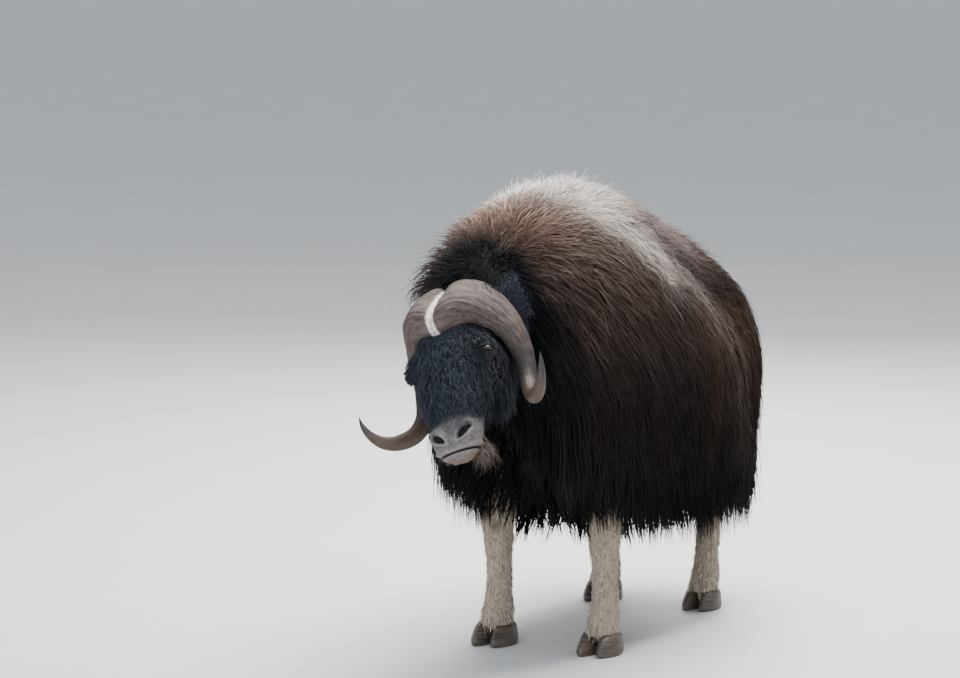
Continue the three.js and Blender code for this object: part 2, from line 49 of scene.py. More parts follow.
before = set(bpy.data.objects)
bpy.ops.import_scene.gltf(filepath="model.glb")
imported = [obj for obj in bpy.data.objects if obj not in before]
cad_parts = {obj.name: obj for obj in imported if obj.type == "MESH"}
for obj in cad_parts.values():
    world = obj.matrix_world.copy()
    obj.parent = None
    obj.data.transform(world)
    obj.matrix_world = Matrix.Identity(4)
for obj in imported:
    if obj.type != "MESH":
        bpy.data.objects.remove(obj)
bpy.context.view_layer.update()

# Places of the body

NECK_PLANE = -0.335  # where the neck meets the torso, along the body


def body_shift():
    """Where the body's own zero point lies in the frame."""
    left, right = (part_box(f"leg_front_{side}") for side in ("left", "right"))
    across = (left[0].x + left[1].x + right[0].x + right[1].x) / 4
    return np.array([across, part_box("torso")[0].y - NECK_PLANE, 0.0])


BODY_SHIFT = body_shift()

# Stations along the trunk: y, back, belly, widest level, half width.
TRUNK = np.array([
    (-0.650, 1.040, 1.040, 1.040, 0.000),
    (-0.570, 1.210, 0.830, 1.035, 0.168),
    (-0.450, 1.282, 0.690, 1.015, 0.225),
    (-0.300, 1.335, 0.590, 0.975, 0.282),
    (-0.120, 1.364, 0.520, 0.920, 0.318),
    (0.060, 1.358, 0.480, 0.870, 0.335),
    (0.230, 1.292, 0.470, 0.830, 0.342),
    (0.380, 1.210, 0.470, 0.810, 0.340),
    (0.530, 1.172, 0.480, 0.790, 0.326),
    (0.700, 1.118, 0.510, 0.770, 0.300),
    (0.840, 1.045, 0.570, 0.750, 0.252),
    (0.955, 0.760, 0.760, 0.760, 0.000),
])
TRUNK_END = 0.02  # the field is read this far inside the trunk's two ends

HEAD_PLACE = Vector((-0.008, -0.715, 1.000))
HEAD_YAW, HEAD_PITCH, HEAD_ROLL = (math.radians(a) for a in (-9, -26, -24))
HEAD_FRAME = (
    Matrix.Translation(HEAD_PLACE)
    @ Matrix.Rotation(HEAD_YAW, 4, "Z")
    @ Matrix.Rotation(HEAD_PITCH, 4, "X")
    @ Matrix.Rotation(HEAD_ROLL, 4, "Y")
)
HEAD_SPIN = np.array(HEAD_FRAME.to_3x3())
HEAD_MIDDLE = -0.13  # half way down the head, in its own frame

# Level sections of the head: z, face, throat, half width.
HEAD = np.array([
    (-0.395, -0.062, -0.026, 0.032),
    (-0.375, -0.082, -0.012, 0.056),
    (-0.350, -0.097, -0.006, 0.072),
    (-0.320, -0.105, 0.000, 0.080),
    (-0.285, -0.106, 0.010, 0.082),
    (-0.240, -0.108, 0.032, 0.088),
    (-0.180, -0.114, 0.072, 0.104),
    (-0.120, -0.118, 0.118, 0.120),
    (-0.060, -0.118, 0.160, 0.127),
    (0.000, -0.110, 0.180, 0.124),
    (0.050, -0.092, 0.175, 0.112),
    (0.105, -0.045, 0.150, 0.088),
    (0.140, 0.010, 0.110, 0.050),
])
# Swellings of the head, left side: centre and half sizes.
HEAD_SWELLS = {
    "brow": ((0.086, -0.044, -0.078), (0.050, 0.044, 0.062)),
    "cheek": ((0.074, 0.036, -0.120), (0.047, 0.060, 0.090)),
    "nostril_wing": ((0.034, -0.074, -0.318), (0.042, 0.038, 0.040)),
    "lip": ((0.038, -0.052, -0.352), (0.036, 0.040, 0.024)),
}
EYE = np.array([0.124, -0.062, -0.088])
EYE_WAY = np.array([0.84, -0.54, 0.02]) / np.linalg.norm([0.84, -0.54, 0.02])
EYE_RADIUS = 0.019
BALL_GAP = 0.0012  # the ball is smaller by this than its socket

# Stations along the left horn: centre, the way it is broad, broad and thin half sizes.
HORN = np.array([
    (0.007, -0.057, 0.067, 0.00, 0.70, 0.71, 0.112, 0.038),
    (0.026, -0.055, 0.084, 0.00, 0.70, 0.71, 0.113, 0.048),
    (0.062, -0.042, 0.092, 0.10, 0.72, 0.68, 0.098, 0.051),
    (0.100, -0.018, 0.080, 0.25, 0.80, 0.55, 0.082, 0.047),
    (0.134, 0.020, 0.048, 0.35, 0.90, 0.30, 0.066, 0.038),
    (0.155, 0.054, 0.002, 0.30, 0.95, 0.10, 0.050, 0.031),
    (0.165, 0.078, -0.052, 0.20, 0.98, 0.00, 0.040, 0.028),
    (0.170, 0.084, -0.108, 0.10, 0.99, 0.00, 0.033, 0.026),
    (0.176, 0.076, -0.162, 0.00, 0.95, -0.20, 0.029, 0.024),
    (0.194, 0.050, -0.210, 0.00, 0.80, -0.50, 0.026, 0.022),
    (0.226, 0.012, -0.238, 0.00, 0.50, -0.80, 0.023, 0.020),
    (0.259, -0.022, -0.240, 0.00, 0.10, -1.00, 0.019, 0.017),
    (0.284, -0.050, -0.220, 0.00, -0.40, -0.90, 0.014, 0.0125),
    (0.298, -0.068, -0.190, 0.00, -0.70, -0.60, 0.0075, 0.007),
    (0.303, -0.076, -0.160, 0.00, -0.80, -0.50, 0.0003, 0.0003),
])

EAR_ROOT = np.array([0.150, 0.095, 0.042])
EAR_TIP = np.array([0.198, 0.027, 0.182])
EAR_TIP_BACK = np.array([0.175, 0.090, 0.165])  # the right ear is laid back
EAR_OPEN = np.array([0.45, -0.89, 0.0])  # the way the cup looks
EAR_WIDE = 0.034

# Stations down each leg: z, y, half width, half depth, offset outwards.
FRONT_LEG = np.array([
    (0.760, -0.070, 0.078, 0.105, 0.000),
    (0.560, -0.085, 0.066, 0.084, 0.000),
    (0.430, -0.092, 0.052, 0.060, 0.002),
    (0.370, -0.096, 0.049, 0.055, 0.002),
    (0.320, -0.094, 0.044, 0.048, 0.000),
    (0.240, -0.088, 0.038, 0.041, 0.000),
    (0.160, -0.088, 0.038, 0.042, 0.000),
    (0.115, -0.094, 0.044, 0.049, 0.000),
    (0.078, -0.104, 0.047, 0.050, 0.000),
    (0.052, -0.112, 0.050, 0.054, 0.000),
])[::-1]
HIND_LEG = np.array([
    (0.780, 0.620, 0.088, 0.150, 0.015),
    (0.600, 0.640, 0.076, 0.112, 0.012),
    (0.500, 0.690, 0.058, 0.076, 0.006),
    (0.420, 0.728, 0.048, 0.056, 0.002),
    (0.350, 0.726, 0.042, 0.048, 0.000),
    (0.260, 0.706, 0.036, 0.042, 0.000),
    (0.165, 0.690, 0.036, 0.041, 0.000),
    (0.112, 0.682, 0.041, 0.046, 0.000),
    (0.074, 0.670, 0.044, 0.047, 0.000),
    (0.050, 0.662, 0.046, 0.050, 0.000),
])[::-1]
LEG_ACROSS = {"front": 0.175, "hind": 0.170}
LEGS = {"front": FRONT_LEG, "hind": HIND_LEG}
KNEE = {"front": 0.385, "hind": 0.425}  # heights of the joints' lumps
FETLOCK = 0.11
# Claws: y, half length, half width, distance from the leg's middle, height.
CLAWS = {
    "front": (-0.128, 0.074, 0.033, 0.034, 0.062),
    "hind": (0.648, 0.066, 0.029, 0.030, 0.058),
}
TAIL = np.array([
    (0.705, 0.976, 0.003),
    (0.740, 0.974, 0.020),
    (0.800, 0.966, 0.030),
    (0.860, 0.948, 0.034),
    (0.905, 0.930, 0.034),
])
SIDES = {"left": 1, "right": -1}
SKIRT_HEM = 0.215  # height of the coat's lower edge on the flanks

# Numbers


def mix(a, b, t):
    return a + (b - a) * t


def smooth(t):
    t = np.clip(t, 0, 1)
    return t * t * (3 - 2 * t)


def ramp(x, low, high):
    """0 at low, 1 at high, and smooth between."""
    return smooth((np.asarray(x) - low) / (high - low))


def unit(v):
    return v / np.maximum(np.linalg.norm(v, axis=-1, keepdims=True), 1e-9)


def dot(a, b):
    return (a * b).sum(-1)


def along(at, values, x):
    """A value that passes smoothly through the stations without overshooting."""
    step = np.diff(at)
    slope = np.diff(values) / step
    rate = np.empty(len(at))
    rate[0], rate[-1] = slope[0], slope[-1]
    before, after = slope[:-1], slope[1:]
    same = before * after > 0
    rate[1:-1] = np.where(same, 2 * before * after / np.where(same, before + after, 1), 0)
    x = np.clip(x, at[0], at[-1])
    i = np.clip(np.searchsorted(at, x, side="right") - 1, 0, len(at) - 2)
    t = (x - at[i]) / step[i]
    return (
        values[i] * (1 + 2 * t) * (1 - t) ** 2
        + values[i + 1] * t * t * (3 - 2 * t)
        + rate[i] * step[i] * t * (1 - t) ** 2
        - rate[i + 1] * step[i] * t * t * (1 - t)
    )


def through(values, count):
    """A smooth row of count values that passes through the given ones."""
    v = np.concatenate([2 * values[:1] - values[1:2], values, 2 * values[-1:] - values[-2:-1]])
    x = np.linspace(0, len(values) - 1, count)
    i = np.minimum(x.astype(int), len(values) - 2)
    t = (x - i)[:, None]
    a, b, c, d = v[i], v[i + 1], v[i + 2], v[i + 3]
    bend = (3 * (b - c) + d - a) * t + (2 * a - 5 * b + 4 * c - d)
    return b + t * ((c - a) + t * bend) / 2


def section(y):
    """The trunk's widest level and its half sizes sideways, up and down, at y."""
    at, top, belly, wide, half = TRUNK.T
    root = lambda v: np.sqrt(np.maximum(0, along(at, v**2, y)))
    return along(at, wide, y), root(half), root(top - wide), root(wide - belly)


def reach(p):
    """1 on the trunk, less inside it and more outside."""
    inside = np.clip(p[..., 1], TRUNK[0, 0] + TRUNK_END, TRUNK[-1, 0] - TRUNK_END)
    wide, half, up, down = section(inside)
    rise = p[..., 2] - wide
    tall = np.where(rise > 0, up, down) + 0.001
    level = np.hypot(p[..., 0] / (half + 0.001), rise / tall)
    return level + np.abs(p[..., 1] - inside) / 0.05


def off_trunk(p):
    """How far points are outside the trunk, and the way out."""
    h = 0.002
    slope = np.stack([reach(p + h * e) - reach(p - h * e) for e in np.eye(3)], -1) / (2 * h)
    steep = np.maximum(np.linalg.norm(slope, axis=-1), 0.1)
    return np.clip((reach(p) - 1) / steep, -0.2, 0.2), slope / steep[..., None]


def on_trunk(y, turn):
    """Points of the trunk: turn is 0 on the back, 0.5 on the left side, 1 under the belly."""
    wide, half, up, down = section(y)
    rise = np.cos(turn * math.pi)
    high = wide + rise * np.where(rise > 0, up, down)
    return np.stack([half * np.sin(turn * math.pi), y, high], -1)


def turn_of(p):
    """How far round the trunk points lie, from 0 on the back to 1 under the belly."""
    wide, half, up, down = section(p[..., 1])
    rise = p[..., 2] - wide
    tall = rise / (np.where(rise > 0, up, down) + 0.02)
    return np.arctan2(np.abs(p[..., 0]) / (half + 0.02), tall) / math.pi


def to_head(p):
    return (p - np.array(HEAD_PLACE)) @ HEAD_SPIN


def from_head(q):
    return q @ HEAD_SPIN.T + np.array(HEAD_PLACE)


def to_frame(p):
    return p + BODY_SHIFT


def head_section(z):
    """The head's face, throat and half width at a level of its own frame."""
    at, face, throat, half = HEAD.T
    return along(at, face, z), along(at, throat, z), along(at, half, z)


def off_head(q):
    """About how far points of the head's frame are outside the head, and the way out."""
    face, throat, half = head_section(q[..., 2])
    deep = (throat - face) / 2
    ahead = q[..., 1] - (face + throat) / 2
    level = np.hypot(q[..., 0] / half, ahead / deep)
    beyond = np.maximum(0, np.maximum(q[..., 2] - HEAD[-1, 0], HEAD[0, 0] - q[..., 2]))
    far = (level - 1) * np.minimum(half, deep) + beyond
    way = np.stack([q[..., 0] / half**2, ahead / deep**2, np.zeros_like(ahead)], -1)
    return far, unit(way)


def waves(seed, count, low, high):
    """A smooth repeatable noise of a point, about -1 to 1, with features of that many a metre."""
    draw = np.random.default_rng(seed)
    way = unit(draw.normal(size=(count, 3))) * draw.uniform(low, high, (count, 1)) * 2 * math.pi
    phase = draw.uniform(0, 2 * math.pi, count)
    return lambda p: np.sin(p @ way.T + phase).sum(-1) / math.sqrt(count)


# Markings


def layered(colour, *patches):
    """A colour with patches over it in their order: each a colour and its share at each point."""
    for other, share in patches:
        colour = colour + (np.asarray(other) - colour) * np.asarray(share)[..., None]
    return colour


# The dark fur round the head's root, as an ellipsoid of the head's frame. Its centre lies off the middle to
# the left, so the dark reaches further on the left as painted shade and less far on the right as painted
# light.
DARK_CENTRE = np.array([0.045, 0.05, -0.05])
DARK_SIZE = np.array([0.208, 0.235, 0.376])
# The saddle's pale band along the body: y, how far round the trunk, and how pale. It is partly the saddle's
# own pale hair and partly painted sky light along the lit edge of the back, most so where it runs faintly
# down the rump's side.
SADDLE_Y = np.array([-0.30, -0.11, -0.056, 0.009, 0.173, 0.286, 0.427, 0.53])
SADDLE_TURN = np.array([0.08, 0.20, 0.265, 0.290, 0.308, 0.346, 0.412, 0.50])
SADDLE_WORTH = np.array([0.0, 0.95, 1.0, 1.0, 0.38, 0.46, 0.34, 0.0])
# Noises with features of about 20 cm, 6 cm and 2 cm.
patchy = waves(5, 9, 2.0, 9.0)
mottled = waves(6, 9, 9.0, 26.0)
blotchy = waves(7, 9, 30.0, 90.0)


def trunk_markings(p, hues):
    """The coat's colour at points of the trunk."""
    turn = turn_of(p) + 0.012 * patchy(p)
    y = p[..., 1] + 0.015 * mottled(p)
    back = ramp(y, -0.16, 0.02) * ramp(y, 0.62, 0.18)
    hump = np.exp(-(((y + 0.105) / 0.155) ** 2)) * ramp(turn, 0.29, 0.11)
    ridge = np.interp(y, SADDLE_Y, SADDLE_TURN)
    below = mix(0.050, 0.066, ramp(y, 0.05, 0.2))
    above = mix(0.060, 0.040, ramp(y, 0.0, 0.15))
    spread = np.where(turn > ridge, below, above)
    band = np.exp(-(((turn - ridge + 0.008) / spread) ** 2)) * np.interp(y, SADDLE_Y, SADDLE_WORTH)
    russet = ramp(turn, 0.30, 0.38) * ramp(y, 0.02, 0.2)
    russet = russet * ramp(p[..., 2] + 0.03 * patchy(p), 0.78, 0.96)
    q = to_head(p)
    level = np.linalg.norm((q - DARK_CENTRE) / DARK_SIZE, axis=-1) + 0.03 * mottled(p)
    # Painted light: on the right side the ruff above the head is painted less dark, as where light falls on
    # it.
    lit_far_ruff = ramp(q[..., 0], 0.02, -0.14) * ramp(q[..., 2], 0.05, 0.16)
    return layered(
        np.array(hues.flank),
        (hues.shoulder, ramp(turn, 0.47, 0.30) * ramp(y, 0.14, -0.12)),
        (hues.rump, ramp(turn, 0.58, 0.40) * ramp(y, 0.22, 0.45)),
        (hues.mantle, ramp(y, -0.28, -0.46) * ramp(turn, 0.42, 0.27)),
        (hues.crest, ramp(turn, 0.22, 0.08) * ramp(y, -0.17, -0.30)),
        (hues.back, ramp(turn, 0.34, 0.20) * back),
        (hues.hump, hump),
        (hues.saddle, np.clip(band * (0.95 + 0.10 * mottled(p)), 0, 1)),
        (hues.russet, russet * 0.8),
        # Lower down the coat turns to the skirt's near black: partly the skirt's own dark brown, partly
        # painted shade on the lower body.
        (hues.skirt, ramp(p[..., 2] + 0.02 * patchy(p), 0.97, 0.71)),
        (hues.throat, ramp(level, 1.17, 0.97) * (1 - 0.45 * lit_far_ruff)),
    )


def head_markings(q, hues):
    """The fur's colour at points of the head's frame."""
    side = folded(q)
    # Painted shade: the face is darkened towards the throat's colour on the cheeks behind the face and
    # towards both of its sides.
    painted_shade = np.maximum(ramp(q[..., 1], -0.065, 0.01) * 0.9, ramp(side[..., 0], 0.045, 0.10) * 0.75)
    low = ramp(q[..., 2] + 0.014 * mottled(q), -0.262, -0.322) * ramp(q[..., 1], 0.0, -0.05)
    worn = np.clip(1 + 0.16 * blotchy(q), 0.6, 1.5)[..., None]
    chin = ramp(q[..., 2], -0.335, -0.360) * ramp(q[..., 1], -0.075, -0.045)
    rim = np.exp(-(((nostril_level(side) - 1.5) / 0.4) ** 2)) * (q[..., 2] < -0.325)
    level = mouth_level(q)
    lips = np.exp(-((level / 0.012) ** 2)) * ramp(q[..., 1], 0.0, -0.04)
    lips = lips * ramp(np.abs(level), 0.002, 0.005)
    # Painted shade: the nostrils' holes and the slit of the mouth are painted nearly black with the pupil's
    # colour, as the shade inside them.
    nostril_shade = ramp(nostril_level(side), 1.15, 0.75)
    line = ramp(np.abs(level), 0.0035, 0.0015) * ramp(q[..., 1], 0.012, -0.01)
    around = side - EYE
    near = np.linalg.norm(around, axis=-1)
    patch = np.exp(-(((around[..., 1] - 0.028) / 0.02) ** 2)) * ramp(near, 0.060, 0.030)
    return layered(
        np.array(hues.face),
        (hues.throat, painted_shade),
        (np.array(hues.muzzle) * worn, low),
        (hues.chin, np.maximum(chin, jaw_share(q, 0.062, 0.040))),
        (hues.lip, rim * 0.6),
        (hues.lip, lips * 0.7),
        (hues.pupil, np.maximum(nostril_shade, line) * 0.95),
        (hues.eye_rim, patch * 0.8),
    )


def folded(q):
    """Points of the head's frame, with those of its right side mirrored to the left."""
    side = np.array(q)
    side[..., 0] = np.abs(side[..., 0])
    return side


def leg_markings(p, hues):
    """The short fur's colour down the legs."""
    return layered(np.array(hues.leg), (hues.skirt, ramp(p[..., 2] + 0.02 * patchy(p), 0.40, 0.62)))


def markings(p, hues):
    """The colour of skin and fur at points of the body."""
    q = to_head(p)
    far, _ = off_head(q)
    on_head = ramp(far, 0.05, 0.02) * ramp(p[..., 1], -0.50, -0.62)
    ear = ramp(ear_share(q)[1], 0.05, 0.035) * (far > 0.0)
    lower = ramp(off_trunk(p)[0], 0.0, 0.04) * (p[..., 2] < 0.75) * (p[..., 1] > -0.3)
    return layered(
        trunk_markings(p, hues),
        (head_markings(q, hues), on_head),
        (hues.ear, ear),
        (leg_markings(p, hues), lower),
    )


def side_signs(q):
    """What turns a way of the left side into one of each point's own side."""
    return np.stack([np.sign(q[:, 0]), np.ones(len(q)), np.ones(len(q))], 1)


def ear_share(q):
    """How far along the nearer ear points of the head's frame lie, and how far from its line."""
    side = folded(q)
    way = ear_way(q)
    share = np.clip(dot(side - EAR_ROOT, way) / dot(way, way), 0, 1)
    return share, np.linalg.norm(side - (EAR_ROOT + share[..., None] * way), axis=-1)


def ear_way(q):
    """From root to tip of the ear on each point's side, as the left ear would lie."""
    return np.where(q[..., :1] > 0, EAR_TIP, EAR_TIP_BACK) - EAR_ROOT


# The left nostril's line down the nose: centre and half width.
NOSTRIL = np.array([
    (0.058, -0.092, -0.316, 0.0100),
    (0.046, -0.104, -0.327, 0.0105),
    (0.032, -0.109, -0.339, 0.0092),
    (0.019, -0.106, -0.352, 0.0068),
    (0.010, -0.099, -0.361, 0.0042),
])
MOUTH_Y, MOUTH_Z = -0.070, -0.3715  # a point of the mouth's line
MOUTH_TILT = math.radians(-12)
JAW_PATCH = np.array([0.072, -0.005, -0.362])  # the left corner of the jaw
RIGHT_JAW = 0.3  # share of that fur on the right side


def jaw_share(q, far=0.054, near=0.034):
    """1 where the longer pale fur of the jaw grows; the right side has less of it."""
    patch = ramp(np.linalg.norm(folded(q) - JAW_PATCH, axis=-1), far, near)
    return patch * np.where(q[..., 0] > 0, 1.0, RIGHT_JAW)


def nostril_level(side):
    """How far points are from the nostril's line, as a share of its half width."""
    best = np.full(side.shape[:-1], 99.0)
    for a, b in zip(NOSTRIL, NOSTRIL[1:]):
        span = (b - a)[:3]
        share = np.clip((side - a[:3]) @ span / (span @ span), 0, 1)
        far = np.linalg.norm(side - a[:3] - share[..., None] * span, axis=-1)
        best = np.minimum(best, far / mix(a[3], b[3], share))
    return best


def mouth_level(q):
    """The height of points above the line of the mouth."""
    return (q[..., 2] - MOUTH_Z) * math.cos(MOUTH_TILT) + (q[..., 1] - MOUTH_Y) * math.sin(MOUTH_TILT)


EYE_ACROSS = unit(np.cross([0, 0, 1.0], EYE_WAY))
EYE_UP = np.cross(EYE_WAY, EYE_ACROSS)
# Half sizes of the lids' opening, as shares of the ball's radius.
EYE_WIDE, EYE_TALL_UP, EYE_TALL_DOWN = 0.84, 0.50, 0.42


def eye_level(side):
    """How far points are from the eye, and 1 on the edge of the lids' opening."""
    around = side - EYE
    far = np.linalg.norm(around, axis=-1)
    aim = around / np.maximum(far, 1e-6)[..., None]
    high = aim @ EYE_UP
    tall = np.where(high > 0, EYE_TALL_UP, EYE_TALL_DOWN)
    opening = np.hypot(aim @ EYE_ACROSS / EYE_WIDE, high / tall)
    return far, np.where(aim @ EYE_WAY > 0.2, opening, 9.0)


# Making pieces


def only(piece):
    """Selects one piece alone and makes it the active one."""
    bpy.ops.object.select_all(action="DESELECT")
    piece.select_set(True)
    bpy.context.view_layer.objects.active = piece


def apply_modifier(piece, kind, **settings):
    only(piece)
    bpy.ops.object.modifier_add(type=kind)
    modifier = piece.modifiers[-1]
    for key, value in settings.items():
        setattr(modifier, key, value)
    bpy.ops.object.modifier_apply(modifier=modifier.name)


def points_of(piece):
    co = np.empty(len(piece.data.vertices) * 3)
    piece.data.vertices.foreach_get("co", co)
    return co.reshape(-1, 3)


def head_points(piece):
    """The piece's points in the head's frame."""
    return to_head(points_of(piece) - BODY_SHIFT)


def set_points(piece, points):
    piece.data.vertices.foreach_set("co", points.ravel())
    piece.data.update()


def rolled(name, rings):
    """A closed shell: a grid rolled up so that each of its rows is one ring of points."""
    rows, sides = rings.shape[:2]
    bpy.ops.object.select_all(action="DESELECT")
    bpy.ops.mesh.primitive_grid_add(x_subdivisions=sides, y_subdivisions=rows - 1, size=1)
    piece = bpy.context.object
    piece.name = name
    set_points(piece, np.concatenate([rings, rings[:, :1]], 1).reshape(-1, 3))
    bpy.ops.object.mode_set(mode="EDIT")
    bpy.ops.mesh.select_all(action="SELECT")
    bpy.ops.mesh.remove_doubles(threshold=1e-6)
    bpy.ops.mesh.normals_make_consistent(inside=False)
    bpy.ops.object.mode_set(mode="OBJECT")
    return piece


def closed(rings):
    """The rings with a point in the middle of the first and the last, so that both ends close."""
    middle = lambda ring: np.broadcast_to(ring.mean(0), ring.shape)[None]
    return np.concatenate([middle(rings[0]), rings, middle(rings[-1])])


def circle(count):
    """The angles of that many places round a ring."""
    return np.arange(count) / count * 2 * math.pi


def ellipse_ring(centre, a, b, sides):
    angle = circle(sides)
    return centre + np.cos(angle)[:, None] * a + np.sin(angle)[:, None] * b


def swell(name, centre, size, place=lambda p: p):
    """A rounded lump of flesh, at a place of the body."""
    bpy.ops.object.select_all(action="DESELECT")
    bpy.ops.mesh.primitive_uv_sphere_add(segments=28, ring_count=18, radius=1)
    piece = bpy.context.object
    piece.name = name
    set_points(piece, to_frame(place(points_of(piece) * size + centre)))
    return piece


def nearest(spots, points):
    """For each point, the number of the spot that is nearest to it."""
    tree = KDTree(len(spots))
    for number, spot in enumerate(spots):
        tree.insert(spot, number)
    tree.balance()
    return np.array([tree.find(p)[1] for p in points])


def joined(name, pieces):
    only(pieces[0])
    for piece in pieces:
        piece.select_set(True)
    bpy.ops.object.join()
    pieces[0].name = name
    return pieces[0]


def shade(piece):
    only(piece)
    bpy.ops.object.shade_smooth()


def paint(piece, name, colour):
    """Keeps a colour at each point of the piece."""
    data = piece.data.color_attributes.new(name, "FLOAT_COLOR", "POINT")
    rgba = np.ones((len(colour), 4), np.float32)
    rgba[:, :3] = np.clip(colour, 0, 1)
    data.data.foreach_set("color", rgba.ravel())


def note(piece, name, vectors):
    """Keeps a vector at each point of the piece, for its material."""
    data = piece.data.attributes.new(name, "FLOAT_VECTOR", "POINT")
    data.data.foreach_set("vector", vectors.astype(np.float32).ravel())


def finish(piece, material, replaces=()):
    """Gives the piece its material, hangs it on the root and hides the parts that it replaces."""
    piece.data.materials.clear()
    piece.data.materials.append(material)
    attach(piece, "root")
    if replaces:
        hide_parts(*replaces)
    return piece


# Materials


class Nodes:
    """Builds one material's nodes."""

    def __init__(self, name):
        self.material = bpy.data.materials.new(name)
        self.material.use_nodes = True
        self.tree = self.material.node_tree
        self.shader = self.tree.nodes["Principled BSDF"]

    def link(self, value, socket):
        if isinstance(value, bpy.types.NodeSocket):
            self.tree.links.new(value, socket)
        elif value is not None:
            socket.default_value = value

    def add(self, kind, inputs=None, output=0, **settings):
        node = self.tree.nodes.new(kind)
        for key, value in settings.items():
            setattr(node, key, value)
        for key, value in (inputs or {}).items():
            self.link(value, node.inputs[key])
        return node.outputs[output]

    def attribute(self, name, output="Color"):
        return self.add("ShaderNodeAttribute", output=output, attribute_name=name)

    def split(self, vector):
        """The three numbers of a vector."""
        return self.add("ShaderNodeSeparateXYZ", {"Vector": vector}).node.outputs

    def noise(self, stretch, detail, rough, vector=None):
        """Noise on Object coordinates, or on another vector, stretched by a Mapping node."""
        source = vector or self.add("ShaderNodeTexCoord", output="Object")
        place = self.add("ShaderNodeMapping", {"Vector": source, "Scale": stretch})
        inputs = {"Vector": place, "Scale": 1.0, "Detail": detail, "Roughness": rough}
        return self.add("ShaderNodeTexNoise", inputs, "Fac")

    def span(self, value, low, high, out_low=0.0, out_high=1.0):
        inputs = {"Value": value, "From Min": low, "From Max": high, "To Min": out_low, "To Max": out_high}
        return self.add("ShaderNodeMapRange", inputs)

    def maths(self, operation, a, b=None):
        inputs = {0: a} if b is None else {0: a, 1: b}
        return self.add("ShaderNodeMath", inputs, operation=operation)

    def distance(self, a, b):
        """The length of two numbers at right angles."""
        squares = [self.maths("POWER", v, 2) for v in (a, b)]
        return self.maths("SQRT", self.maths("ADD", *squares))

    def mixed(self, share, a, b, how="MIX"):
        node = self.tree.nodes.new("ShaderNodeMix")
        node.data_type, node.blend_type = "RGBA", how
        self.link(share, node.inputs[0])
        self.link(a, node.inputs[6])
        self.link(b, node.inputs[7])
        return node.outputs[2]

    def toned(self, colour, tone):
        """A colour that is made darker or brighter by a number."""
        grey = self.add("ShaderNodeCombineColor", {0: tone, 1: tone, 2: tone})
        return self.mixed(1.0, colour, grey, "MULTIPLY")

    def bump(self, height, strength, distance):
        inputs = {"Height": height, "Strength": strength, "Distance": distance}
        return self.add("ShaderNodeBump", inputs)

    def set(self, **inputs):
        for key, value in inputs.items():
            self.link(value, self.shader.inputs[key.replace("_", " ")])
        return self.material


def rgba(colour):
    return (*colour, 1.0)


def hair_material(name, *, sheen, roughness, gloss):
    """Hair: the tuft's own colour, with single hairs drawn as fine streaks that run down it."""
    n = Nodes(name)
    streak = n.noise((2.8, 90, 14), 3.0, 0.6, n.attribute("lie", "Vector"))
    return n.set(
        Base_Color=n.toned(n.attribute("tone"), n.span(streak, 0.3, 0.7, 0.6, 1.4)),
        Roughness=roughness,
        Specular_IOR_Level=gloss,
        Sheen_Weight=sheen,
        Sheen_Roughness=0.4,
        Sheen_Tint=rgba((0.75, 0.78, 0.85)),
        Normal=n.bump(streak, 0.4, 0.001),
    )


def skin_material():
    """Skin under the fur: the same markings, with the lie of short hair as bump."""
    n = Nodes("hide")
    fine = n.noise((330, 330, 90), 3.0, 0.6)
    coarse = n.noise((60, 60, 26), 3.0, 0.55)
    height = n.maths("ADD", n.maths("MULTIPLY", fine, 0.35), coarse)
    return n.set(
        Base_Color=n.toned(n.attribute("tone"), n.span(fine, 0.3, 0.7, 0.6, 1.3)),
        Roughness=n.span(coarse, 0.3, 0.7, 0.62, 0.8),
        Specular_IOR_Level=0.14,
        Normal=n.bump(height, 0.5, 0.003),
    )


def horn_material(hues):
    """Horn: a fibrous boss with a cream parting, a smooth tan shaft and a dark tip."""
    n = Nodes("horn_sheath")
    grow = n.attribute("grow", "Vector")
    midline, share, _ = n.split(n.attribute("mark", "Vector"))
    fibre = n.noise((13, 13, 2.2), 5.0, 0.62, grow)
    patch = n.noise((2.4, 2.4, 3.0), 3.0, 0.55, grow)
    flecks = n.noise((420, 420, 420), 2.0, 0.5)
    boss = n.span(share, 0.30, 0.50, 1.0, 0.0)
    colour = n.mixed(n.span(share, 0.29, 0.49), rgba(hues.boss), rgba(hues.shaft))
    colour = n.mixed(n.span(share, 0.55, 0.72), colour, rgba(hues.tan))
    colour = n.mixed(n.span(share, 0.86, 0.95), colour, rgba(hues.horn_tip))
    worn = n.maths("MULTIPLY", n.span(patch, 0.48, 0.66), n.span(boss, 0.0, 1.0, 0.08, 0.32))
    colour = n.mixed(worn, colour, rgba(hues.worn))
    edge = n.maths("ADD", midline, n.span(fibre, 0.3, 0.7, -0.0015, 0.0015))
    colour = n.mixed(n.span(edge, 0.0095, 0.0145, 1.0, 0.0), colour, rgba(hues.parting))
    strength = n.maths("ADD", n.maths("MULTIPLY", boss, 0.6), 0.35)
    colour = n.mixed(strength, colour, n.toned(colour, n.span(fibre, 0.32, 0.68, 0.46, 1.5)))
    height = n.maths("ADD", n.maths("MULTIPLY", fibre, strength), n.maths("MULTIPLY", flecks, 0.06))
    return n.set(
        Base_Color=colour,
        Roughness=n.span(boss, 0.0, 1.0, 0.50, 0.75),
        Specular_IOR_Level=0.25,
        Normal=n.bump(height, 0.9, 0.004),
    )


